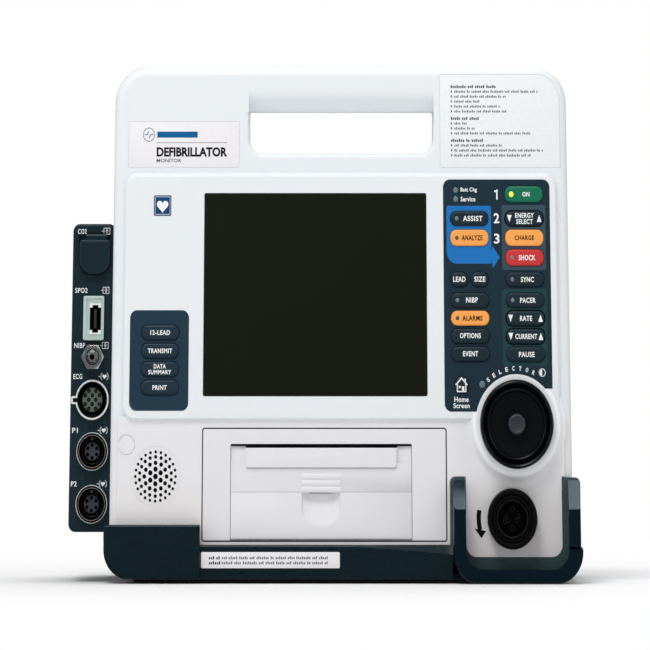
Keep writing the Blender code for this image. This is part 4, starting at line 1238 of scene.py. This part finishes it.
def dial():
    dish = [(6.7, 6.6), (8.2, 6.5), (13.5, 5.7), (19.4, 4.9), (20.2, 3.5), (20.9, 3.1), (21.6, 3.3)]
    gap = [(22.1, 4.1), (22.3, 5.8), (22.6, 7.2), (23.2, 7.7), (23.9, 7.4)]
    skirt = [(24.2, 5.2), (24.6, 4.2), (25.4, 3.8), (26.3, 4.2), (26.9, 5.4), (27.1, 7.4)]
    hub = [(27.1, BOSS_FACE - 1.2), (3.0, BOSS_FACE - 1.18), (3.0, DIAL_BACK)]
    disc = turned("dial_disc", DIAL, from_face(DIAL_FRONT, *dish, *gap, *skirt) + hub, "dial", 128)
    knob = [(0.05, 1.0), (2.4, 0.85), (4.2, 0.4), (5.2, 0), (5.9, 0.3), (6.5, 1.3), (6.55, 3.0), (6.7, 6.9)]
    knob = from_face(DIAL_FRONT, *knob)
    grip = turned("dial_knob", DIAL, knob, "dial_cap", 144, flutes=24, flute_depth=0.035)
    dimple = from_face(DIAL_FRONT, (0.05, 0.9), (1.1, 0.86), (1.2, 1.05))
    dimple = turned("dial_dimple", DIAL, dimple, "dial_cap", 32)
    fit(join("dial", disc, grip, dimple), "selector_dial", "dial_black", "selector_dial")


# Therapy socket

THERAPY_FLOOR = -76.0
SMALL_CONTACTS = ((-4.6, 1.6), (-5.6, -1.6), (-3.2, -1.0), (4.4, 1.8), (3.2, -0.8))
THERAPY_CONTACTS = [(0.0, 5.9, 1.1), (0.0, -5.6, 1.1)]
THERAPY_CONTACTS += [(*place, 0.85) for place in SMALL_CONTACTS]


def therapy_socket():
    throat = [(12.3, 1.2), (12.7, 0.7), (13.6, 0.9), (13.9, 1.6), (14.4, 1.5)]
    flange = [(15.2, 0.4), (16.6, 0), (17.6, 0.3), (18.2, 1.2), (18.3, 2.6)]
    profile = [(12.3, THERAPY_FLOOR), *from_face(THERAPY_FRONT, *throat, *flange)]
    profile += [(18.3, LOWER_FACE - GAP), (14.5, LOWER_FACE - GAP)]
    profile += [(14.5, THERAPY_FLOOR + 4), (2.0, THERAPY_FLOOR + 4), (2.0, THERAPY_FLOOR)]
    shell = turned("therapy_shell", THERAPY, profile, "black", 96, ring=True)
    rim = [(10.4, -97.2), (10.7, -97.8), (11.7, -97.8), (12.0, -97.2), (12.0, -80.0), (10.4, -80.0)]
    rim = turned("therapy_rim", THERAPY, rim, "rim_black", 96, ring=True)
    cut(rim, *(bore(around(THERAPY, 11.2, angle), 1.4, -110, -94, 24) for angle in (60, 180, 300)))
    fit(join("therapy_housing", shell, rim), HOUSING, "therapy_black", "therapy_socket")


def therapy_insert():
    face, tip = -94.0, 9.75
    plug = from_face(face, (0.05, 0), (tip - 0.9, 0), (tip - 0.3, 0.2), (tip, 0.9))
    insert = turned("therapy_core", THERAPY, plug + [(tip, THERAPY_FLOOR + 0.4)], "deep_black", 72)
    holes, rims = [], []
    for dx, dz, radius in THERAPY_CONTACTS:
        place = (THERAPY[0] + dx, THERAPY[1] + dz)
        holes.append(bore(place, radius, AHEAD, face + 6, 28))
        inner, outer = radius + 0.05, radius + 0.6
        collar = from_face(face, (inner, -0.25), (outer - 0.1, -0.3), (outer, 0.1), (inner, 0.1))
        rims.append(turned("collar", place, collar, "rim_black", 28, ring=True))
        pin = from_face(face, (0.05, 3.4), (radius * 0.45, 3.7), (radius * 0.5, 5.9))
        rims.append(turned("pin", place, pin, "gold", 20))
    cut(insert, *holes)
    fit(join("therapy_contacts", insert, *rims), HOUSING, "therapy_insert", "therapy_insert")


def lock_arrow():
    """A curved arrow beside the therapy socket, pointing the way its plug is turned to unlock."""
    curve = arc(*THERAPY, 24.6, 168, 196, 10)
    ink_stroke(curve, 3.2, LOWER_FACE, "black_ink")
    x, z = curve[-1]
    ink_shape([(x - 4.0, z + 0.8), (x + 0.9, z - 5.0), (x + 4.4, z - 0.6)], LOWER_FACE, "black_ink")


# Side module

SOCKET_LIP = 1.5


def node_radius(node):
    box, _, _ = node_box(node)
    return (box[1] - box[0]) / 2


def socket_bore(node, by):
    return bore(node_centre(node), node_radius(node) + by)


def side_module():
    left, right, bottom, top = MODULE
    shell = block("module_shell", MODULE, (3.0, 3.0, 5.0, 5.0), MODULE_FRONT, MODULE_BACK, "module", 1.6, 2.0)
    spo2, _, _ = node_box("spo2_socket")
    lid, _, _ = node_box("co2_cover")
    inside = (left + 3, MODULE_FRONT + 9, bottom + 3), (right + 5, MODULE_BACK - 3, top - 3)
    cut(
        shell,
        cuboid("cutter", *inside),
        *(socket_bore(node, GAP - SOCKET_LIP) for node in ("ecg_socket", "p1_socket", "p2_socket")),
        socket_bore("co2_port", GAP),
        hollow(grown(spo2, GAP - SOCKET_LIP), 1.0, BEHIND, steps=3),
        bore(node_centre("nibp_nut"), 5.3, segments=40),
        hollow(grown(lid, 0.6), (9.5, 2.5, 2.5, 9.5), MODULE_FRONT + 2.5),
    )
    soften(shell, 0.4)
    fit(shell, HOUSING, "module_charcoal", "side_module")


def round_socket(node, width, throat_radius, end):
    """A flanged round socket: a bright rim of this width, and a sloping dark throat that ends at end."""
    centre, radius, (_, front, back) = node_centre(node), node_radius(node), node_box(node)
    inner, bevel = radius - width, width * 0.3
    rim = from_face(front, (inner, 0.7), (inner + bevel, 0.12), (radius - bevel, 0), (radius, 0.6))
    rim += [(radius, MODULE_FRONT - GAP), (inner, MODULE_FRONT - GAP)]
    throat = [(throat_radius, end), *from_face(front, (throat_radius, 3.0), (throat_radius + 0.5, 2.2))]
    throat += from_face(front, (inner - 0.3, 1.4), (inner, 1.6))
    outside = radius - SOCKET_LIP
    throat += [(inner, MODULE_FRONT), (outside, MODULE_FRONT + 0.01)]
    throat += [(outside, back), (0.5, back), (0.5, end)]
    rings = ((rim, "ring_white"), (throat, "deep_black"))
    return [turned("ring", centre, profile, surface, 96, ring=True) for profile, surface in rings]


def contact(place, face, radius, collar, rim=0.34, inside="deep_black"):
    """A contact hole with a collar round it. The hole is a flat disc at the face: in deep black, painted
    shade for the hole's depth; in copper, the contact's own face.
    """
    outer = radius + rim
    sleeve = from_face(face, (radius, 0.3), (radius, -0.12), (outer, -0.1), (outer, 0.3))
    hole = from_face(face, (0.05, -0.02), (radius * 0.9, 0), (radius, 0.3))
    return turned("sleeve", place, sleeve, collar, 20, ring=True), turned("hole", place, hole, inside, 16)


def ecg_socket():
    rim, throat = round_socket("ecg_socket", 1.25, 9.0, -57.6)
    x, z = node_centre("ecg_socket")
    tab_box, face = (x - 15.6, x - 10.6, z - 2.6, z + 2.2), MODULE_FRONT
    tab = block("key_tab", tab_box, 1.0, face - 3.4, face - 0.2, "ring_white", 0.5)
    cut(tab, bore((x, z), 12.35))
    for piece in (tab, rim):
        cut(piece, hollow((x - 14.4, x - 9.0, z - 1.5, z + 1.1), 0.3, BEHIND, steps=2))
    sleeve = from_face(face, (10.4, -1.4), (10.9, -1.8), (11.4, -1.4)) + [(11.4, -58.0), (10.4, -58.0)]
    collar = turned("sleeve", (x, z), sleeve, "socket", 96, ring=True)
    fit(join("ecg_ring", rim, throat, tab, collar), HOUSING, "ecg_ring", "ecg_socket")
    _, face, _ = node_box("ecg_insert")
    plug = ((0.05, face), (7.0, face), (7.6, face + 0.6), (7.6, -57.3))
    core = turned("ecg_core", (x, z), plug, "ecg_insert")
    pins = []
    for dz, columns in ((5.4, 2), (2.7, 3), (0.0, 2), (-2.7, 3), (-5.4, 2)):
        for i in range(columns):
            place = (x + (i - (columns - 1) / 2) * 5.2, z + dz)
            pins += contact(place, face, 0.6, "deep_black", 0.7, "copper")
    fit(join("ecg_contacts", core, *pins), HOUSING, "ecg_insert", "ecg_insert")


def pressure_sockets():
    face = -65.0
    boss = [*from_face(face, (0.05, 0.3), (2.2, 0.3), (2.5, 0), (5.0, 0), (5.7, 0.6)), (5.75, -57.2)]
    sleeve = [(7.2, -66.2), (7.7, -66.6), (8.3, -66.2), (8.5, -57.2), (7.2, -57.2)]
    lip = [(9.6, -70.0), (9.8, -70.3), (10.0, -70.0), (10.0, -66.0), (9.6, -66.0)]
    for name in ("p1_socket", "p2_socket"):
        x, z = node_centre(name)
        parts = round_socket(name, 0.6, 8.6, -57.0)
        parts.append(turned("core", (x, z), boss, "socket_insert"))
        parts.append(turned("sleeve", (x, z), sleeve, "black", 72, ring=True))
        parts.append(turned("lip", (x, z), lip, "lip", 96, ring=True))
        key = [(x - 1.6, z + 8.6), (x - 0.5, z + 6.6), (x + 0.5, z + 6.6), (x + 1.6, z + 8.6)]
        parts.append(prism("key", key, -67.4, -58.0, "socket"))
        for i in range(6):
            parts += contact(around((x, z), 3.85, 30 + 60 * i), face, 1.25, "socket", 0.15)
        fit(join(name + "_assembly", *parts), HOUSING, "socket_charcoal", name)


def spo2_socket():
    box, front, back = node_box("spo2_socket")
    left, right, bottom, top = box
    face = block("spo2_face", box, 1.2, front, MODULE_FRONT - GAP, "pale", 0.6, steps=5)
    mouth = (left + 4.9, right - 2.3, bottom + 3.9, top - 4.9)
    add(face, block("barrel", grown(box, -SOCKET_LIP), 0.8, MODULE_FRONT - 1, back, "pale", steps=3))
    tray = (left + 2.2, right - 1.4, bottom + 1.6, top - 1.6)
    cut(face, hollow(tray, 0.8, front + 0.9, steps=4), hollow(mouth, 0.8, -55.0, steps=3))
    soften(face, 0.2, 2)
    x, _ = middle(mouth)
    corners = (3.2, 2.0, 1.0, 1.0)
    wall = block("wall", grown(mouth, -0.1), corners, front + 0.5, -55.2, "deep_black", 0.3, steps=6)
    cut(wall, hollow(grown(mouth, -1.1), (2.6, 1.6, 0.6, 0.6), -58.0, steps=5))
    tongue = (x - 1.0, x + 0.8, mouth[2] + 3.4, mouth[3] - 3.4)
    parts = [face, wall, block("tongue", tongue, 0.4, front + 2.0, -57.8, "socket")]
    for z, low, high in ((mouth[3] - 1.1, -2, 0.3), (mouth[2] + 1.1, -0.3, 2)):
        clip = (mouth[0] - 0.2, mouth[1] + 0.2, z - 1.3, z + 1.3)
        clip = block("clip", clip, 0.3, front + 0.1, front + 1.6, "bright", 0.2)
        parts.append(cut(clip, cuboid("cutter", (x - 2.2, AHEAD, z + low), (x + 2.2, BEHIND, z + high))))
    fit(join("spo2_connector", *parts), HOUSING, "spo2_frame", "spo2_socket")


def nibp_fitting():
    place, radius, (_, front, back) = node_centre("nibp_nut"), node_radius("nibp_nut"), node_box("nibp_nut")
    nut = prism("nut", arc(*place, radius, 0, 300, 5), front, back, "steel")
    chamfer = ((radius - 1.4, front), (radius + 0.6, front + 1.7), (radius + 0.6, back))
    combine(nut, [turned("chamfer", place, chamfer)], "INTERSECT")
    cut(nut, bore(place, 5.0, segments=48))
    soften(nut, 0.2, 2)
    washer = from_face(front, (5.0, 0.4), (6.6, -0.1), (7.0, 0.3), (7.0, 0.8), (5.0, 0.8))
    washer = turned("washer", place, washer, "steel", ring=True)
    fit(join("hose_nut", nut, washer), HOUSING, "nut_steel", "nibp_nut")
    _, tip, _ = node_box("nibp_fitting")
    barb = from_face(tip, (1.6, 0.5), (1.9, 0), (2.9, 0.1), (3.7, 2.6), (3.9, 3.2), (3.2, 3.6), (4.1, 6.6))
    barb = [(1.6, -54.0), *barb, *from_face(tip, (4.1, 7.1), (3.3, 7.5)), (3.3, -68.0), (4.4, -67.6)]
    barb += [(4.6, -66.8), (3.9, -66.2), (3.9, BEHIND), (1.6, BEHIND)]
    barb = turned("hose_barb", place, barb, "steel", 72, ring=True)
    fit(barb, HOUSING, "fitting_nickel", "nibp_fitting")


def co2_cover():
    (left, right, bottom, _), front, back = node_box("co2_cover")
    top, pivot, hinge = 208.3, (-67.6, 210.6), (-178.6, -163.6)
    lid = block("lid", (left, right, bottom, top), (9.0, 2.0, 2.0, 9.0), front, back, "lid", 1.1, 0.3, 14)
    add(
        lid,
        block("tab", (*hinge, top - 1.3, pivot[1]), 0.4, front + 0.6, back, "lid", steps=2),
        side_prism("knuckle", circle(*pivot, 1.5, 40), *hinge, "lid"),
    )
    inner = grown((left, right, bottom, top), -2.2)
    cut(lid, hollow(inner, (7.2, 1.2, 1.2, 7.2), front + 0.35, steps=12))
    lip = (left + 7.5, right - 7.5, bottom, bottom + 1.6)
    add(lid, block("lip", lip, 0.6, front, front + 1.4, edge=0.4, steps=4))
    soften(lid, 0.25)
    fit(lid, "co2_cover", "co2_lid", "co2_cover")


def module_marks():
    y = MODULE_FRONT
    words = (("CO2", -181.8, 213.6, 6.6), ("SPO2", -181.8, 177.0, 9.2), ("NIBP", -182.4, 143.0, 8.2))
    words += (("ECG", -183.4, 124.0, 6.6), ("P1", -184.8, 91.2, 4.2), ("P2", -185.0, 58.8, 4.2))
    for word in words:
        ink_words(*word, 3.1, y, bold=0.03, spacing=1.08)
    for z in (213.8, 177.0, 143.0):
        patient_mark(-163.4, z, y)
    for z in (124.0, 91.2, 58.8):
        heart_mark(-163.6, z, y)


def heart_mark(x, z, y):
    """A heart between two brackets, with a short line before it."""
    ink_heart(x, z, 3.2, y)
    for side in (-1, 1):
        bracket = ((1.7, 2.1), (2.6, 1.2), (2.6, -1.2), (1.7, -2.1))
        ink_stroke([(x + side * out, z + up) for out, up in bracket], 0.35, y)
    ink_stroke([(x - 4.4, z), (x - 3.1, z)], 0.45, y)


def patient_mark(x, z, y):
    """A standing figure in a frame, with a short line before it."""
    corners = ((-2.2, -1.9), (2.2, -1.9), (2.2, 1.9), (-2.2, 1.9))
    ink_stroke([(x + along, z + up) for along, up in corners], 0.35, y, closed=True)
    ink_shape(circle(x, z + 1.0, 0.45, 32), y)
    ink_stroke([(x, z + 0.5), (x, z - 1.4)], 0.6, y)
    ink_stroke([(x - 1.1, z + 0.1), (x + 1.1, z + 0.1)], 0.35, y)
    ink_stroke([(x - 3.8, z), (x - 2.4, z)], 0.35, y)


# Printer

PRINTER_TUB = (-74.5, 69.5, 28.4, 86.4)
DOOR_BACK = DOOR_FACE + 2.8


def printer_frame():
    face = block("printer_bezel", PRINTER, 1.4, LOWER_FACE, -86.3, "printer", 0.5, steps=5)
    add(face, block("tub", PRINTER_TUB, 2.0, -87.3, PRINTER_BACK, steps=4))
    opening = (DOOR[0] - GAP, DOOR[1] + GAP, PRINTER[2] - 5, DOOR[3] + 1.3)
    inside = hollow(grown(PRINTER_TUB, -2.5), 1.0, PRINTER_BACK - 2.5, -86.3, 3)
    cut(face, inside, hollow(opening, 0.8, CASE_FACE + 0.5, steps=3))
    soften(face, 0.25, 2)
    fit(face, HOUSING, "printer_white", "printer_frame")


def printer_groove_shade():
    """Painted shade: a dark ring in the groove round the printer's frame, just below the case's face, and a
    black block in the slot over its door.
    """
    front, back = LOWER_FACE + 0.2, CASE_FACE - 0.05
    shade_ring = block("printer_shade_ring", grown(PRINTER, 0.75), 1.9, front, back, "gasket", steps=5)
    cut(shade_ring, hollow(grown(PRINTER, 0.05), 1.4, BEHIND, steps=5))
    fit(shade_ring, HOUSING, "printer_white")
    # A black block in the slot over the door: painted shade for the slot's depth.
    low, high = (DOOR[0], -88.0, DOOR[3] + 0.1), (DOOR[1], -86.6, DOOR[3] + 1.2)
    fit(cuboid("slot_shade_block", low, high, "deep_black"), HOUSING, "printer_white")


def door_profile():
    hinge_y, radius, bottom, top = -87.6, 1.4, DOOR[2], DOOR[3]
    profile = [(DOOR_FACE, top - 0.4), (DOOR_FACE, bottom + radius)]
    profile += arc(hinge_y, bottom + radius, radius, 195, 345, 10)
    return profile + [(DOOR_BACK, bottom + radius), (DOOR_BACK, top), (DOOR_FACE + 0.4, top)]


def scoop_cutter():
    """A finger scoop: straight at the top, round below, and deepest under its upper edge."""
    left, right, top = -16.9, 11.4, 53.9
    rings = []
    for i in range(9):
        t = i / 8
        inset, corner = 5.5 * t**2, 11 - 6 * t
        box = (left + inset, right - inset, 32.5 + 17.0 * t**0.8, top)
        rings.append(at(DOOR_FACE - 0.2 + 4.9 * t**0.75, outline(box, (corner, 0.5, 0.5, corner), 0, 10)))
    ahead = [(x, DOOR_FACE - 5, z) for x, _, z in rings[0]]
    return finish("cutter", loft([ahead, *rings]))


def printer_door():
    left, right, _, top = DOOR
    bar_left, bar_right = -58.2, 53.4
    door = side_prism("door_plate", door_profile(), left, right, "printer")
    add(door, block("scoop_cup", (-18.6, 13.0, 31.5, 54.6), (12, 2, 2, 12), DOOR_BACK - 1, DOOR_BACK + 4.4))
    cut(
        door,
        scoop_cutter(),
        hollow((left - 1, -58.4, 71.6, top + 2), (0.4, 0.4, 0.4, 2.5), DOOR_FACE + 2.3, steps=5),
        hollow((53.5, right + 1, 71.6, top + 2), (2.5, 0.4, 0.4, 0.4), DOOR_FACE + 2.3, steps=5),
        hollow((-58.0, 53.1, 68.5, 69.0), 0.2, DOOR_FACE + 0.5, steps=2),
        cuboid("cutter", (bar_left, AHEAD, top - 1.0), (bar_right, DOOR_FACE + 2.2, top + 1)),
        cuboid("cutter", (left - 1, AHEAD, 54.1), (right + 1, DOOR_FACE + 0.5, 54.5)),
    )
    soften(door, 0.16, 2)
    bar = (-57.5, 52.6, 69.0, top - 1.1)
    bar = block("paper_bar", bar, 0.5, DOOR_FACE - 1.5, DOOR_FACE + 1, "printer", 0.45, steps=4)
    # A black strip along the door's top edge, under the slot: painted shade.
    low, high = (bar_left, DOOR_FACE + 1.6, top - 1.0), (bar_right, DOOR_FACE + 2.2, top - 0.05)
    edge = cuboid("door_slot_shade", low, high, "deep_black")
    ridges = [grip_ridge(65.3 - 3.9 * i) for i in range(3)]
    fit(join("door", door, bar, edge, *ridges), "printer_door", "door_white", "printer_door")


def grip_ridge(z):
    """A low pillow between two grip grooves, with rounded ends."""
    stations = ((0.0, 0.3), (0.1, 0), (0.5, -0.35), (1.1, -0.5))

    def shape(inset):
        return outline((-17.6, 12.2, z - 3.5, z), (1.4, 1.6, 1.6, 1.4), inset, 6)

    return skin("ridge", shape, from_face(DOOR_FACE, *stations), "printer")


# Labels

NAME_PLATE = (-147.6, -63.8, 253.2, 282.6)
GUIDE = (86.4, 177.0, 253.0, 312.4)
STRIP = (-90.3, 11.0, 9.0, 18.6)
BADGE = (-127.8, -114.8, 223.1, 235.8)
REAR_PRINT = REAR_FACE - 0.2
WORDS = (5, 3, 7, 2, 6, 4, 8, 3, 5)
LABEL_THICKNESS = 0.12
FILM_THICKNESS = 0.1


def labels():
    plates = (
        ("name_label", NAME_PLATE, (2.0, 0.6, 0.6, 0.6), CASE_FACE, LABEL_THICKNESS, "label"),
        ("guide_label", GUIDE, (1.0, 17.0, 1.0, 1.0), CASE_FACE, FILM_THICKNESS, "guide_film"),
        ("strip_label", STRIP, 0.8, TRAY_FRONT, LABEL_THICKNESS, "label"),
    )
    for name, box, radii, face, thick, film in plates:
        plate = block(name, box, radii, face - thick, face + 0.01, film, 0.06, steps=10, edge_steps=2)
        fit(plate, HOUSING, "white_case")
    rear = block("rear_label", grown(REAR_LABEL, -0.8), 1.4, REAR_FACE - 0.4, REAR_PRINT, "label")
    fit(rear, HOUSING, "white_case")
    name_marks(CASE_FACE - LABEL_THICKNESS)
    guide_lines(CASE_FACE - FILM_THICKNESS)
    for z in (15.2, 12.2):
        word_row(-84.6, z, 8.6, 1.9, TRAY_FRONT - LABEL_THICKNESS, "black_ink")
        word_row(-75.0, z, 78.0, 1.7, TRAY_FRONT - LABEL_THICKNESS, "grey_ink")
    rear_lines()


def name_marks(y):
    """A generic pulse mark with what the device is."""
    left, _, bottom, top = NAME_PLATE
    x, z = left + 15.4, top - 8.6
    ink_stroke(circle(x, z, 4.2, 40), 0.45, y, "grey_ink", closed=True)
    pulse = ((-3.2, 0), (-1.4, 0), (-0.6, 2.2), (0.4, -2.4), (1.2, 0), (3.2, 0))
    ink_stroke([(x + along, z + up) for along, up in pulse], 0.55, y, "blue_ink")
    ink_bar(left + 21.6, left + 52.0, z - 1.9, z + 1.9, y, "blue_ink")
    ink_bar(left + 21.2, left + 74.2, z - 5.2, z - 4.9, y, "grey_ink")
    ink_frame(grown(NAME_PLATE, -0.3), (1.7, 0.4, 0.4, 0.4), 0.3, y, "outline_ink")
    ink_words("DEFIBRILLATOR", left + 47.8, bottom + 9.9, 53.0, 6.0, y, "black_ink", bold=0.08)
    ink_words("MONITOR", left + 30.6, bottom + 4.5, 18.6, 2.3, y, "grey_ink", bold=0.03)


def word_row(x, z, length, height, y, ink):
    """A row of small upright blocks in groups, where the real label has a line of words."""
    end, word, letter = x + length, int(z * 7) % len(WORDS), 0
    pitch, width = height * 0.78, height * 0.5
    while x + width < end:
        if letter == WORDS[word % len(WORDS)]:
            word, letter = word + 1, 0
            x += pitch * 0.75
            continue
        rise = height * (0.5 if (letter + word) % 3 == 0 else 0.24)
        ink_bar(x, x + width, z - height / 2, z + rise, y, ink)
        x += pitch
        letter += 1


def guide_lines(y):
    """Three groups of rows where an operating guide would be, each with its heading."""
    left, z = GUIDE[0] + 8.6, GUIDE[3] - 8.0
    indent, step, group_gap = 2.6, 3.13, 1.35
    for heading, *rows in ((34, 66, 42, 22, 38, 42), (22, 12, 18, 60), (26, 40, 70, 60)):
        word_row(left, z, heading, 1.9, y, "black_ink")
        for length in rows:
            z -= step
            word_row(left + indent, z, length - indent, 1.6, y, "grey_ink")
            ink_bar(left, left + 0.9, z - 0.6, z + 0.6, y, "black_ink")
        z -= step + group_gap
    ink_frame(grown(GUIDE, -0.3), (1.0, 16.7, 1.0, 1.0), 0.3, y, "outline_ink", 10)


def rear_lines():
    """Plain lines on the rear label, whose face looks along +Y."""
    bm = ink_mesh(HOUSING, "grey_ink")
    for i, width in enumerate((92, 70, 100, 84, 96, 60)):
        made = bmesh.ops.create_cube(bm, size=1)["verts"]
        bmesh.ops.scale(bm, verts=made, vec=(width, 0.08, 1.1))
        bmesh.ops.translate(bm, verts=made, vec=(54 - width / 2, REAR_PRINT, REAR_LABEL[3] - 7 - 5.2 * i))


def badge():
    """A small blue plate with a heart."""
    y = PLATFORM_FACE
    plate = block("badge_plate", BADGE, 0.8, y - 0.3, y + 0.01, "badge", 0.12, steps=4, edge_steps=2)
    fit(plate, HOUSING, "left_panel")
    x, z = middle(BADGE)
    ink_heart(x, z - 0.2, 8.6, y - 0.3)
    ink_frame(grown(BADGE, -0.9), 0.5, 0.25, y - 0.3, steps=3)


# Batteries and inner pieces


def batteries():
    for name in BATTERIES:
        box, front, back = node_box(name)
        pack = block(name + "_pack", box, 3.0, front, REAR_FACE + 1, "module", 1.0, 0.8, steps=6)
        x, _ = middle(box)
        low, high = box[3] - 16, box[3] - 4
        add(pack, block("tab", (x - 24, x + 24, low, high), 2.0, REAR_FACE, back, back_edge=1.2, steps=5))
        for i in range(9):
            rib = x - 20 + 5 * i
            cut(pack, cuboid("cutter", (rib, back - 0.5, low + 2), (rib + 1.4, back + 2, high - 2)))
        soften(pack, 0.25, 2)
        fit(pack, name, "battery_charcoal", name)


INNER_SURFACES = {
    "main_board": "board",
    "therapy_board": "board",
    "display_module": "drawn_steel",
    "energy_capacitor": "sleeve",
    "speaker": "black",
    "dial_encoder": "lid",
    "dial_plunger": "drawn_steel",
    "print_head": "drawn_steel",
    "platen_roller": "rubber",
    "printer_motor": "drawn_steel",
    "motor_pinion": "brass",
    "paper_roll": "paper",
    "co2_port": "pale",
}


def inner_pieces():
    for node, surface in INNER_SURFACES.items():
        mesh = frame["nodes"][node].data
        mesh.materials.clear()
        mesh.materials.append(SURFACES[surface])


def build():
    camera()
    studio()
    floor()
    front_case()
    rear_case()
    screws()
    base_tray()
    guard()
    feet()
    display()
    keys()
    key_panels()
    panel_zones()
    key_words()
    panel_words()
    home_mark()
    lamps()
    dial()
    therapy_socket()
    therapy_insert()
    lock_arrow()
    side_module()
    ecg_socket()
    pressure_sockets()
    spo2_socket()
    nibp_fitting()
    co2_cover()
    module_marks()
    printer_frame()
    printer_groove_shade()
    printer_door()
    labels()
    badge()
    batteries()
    inner_pieces()
    set_ink()


build()
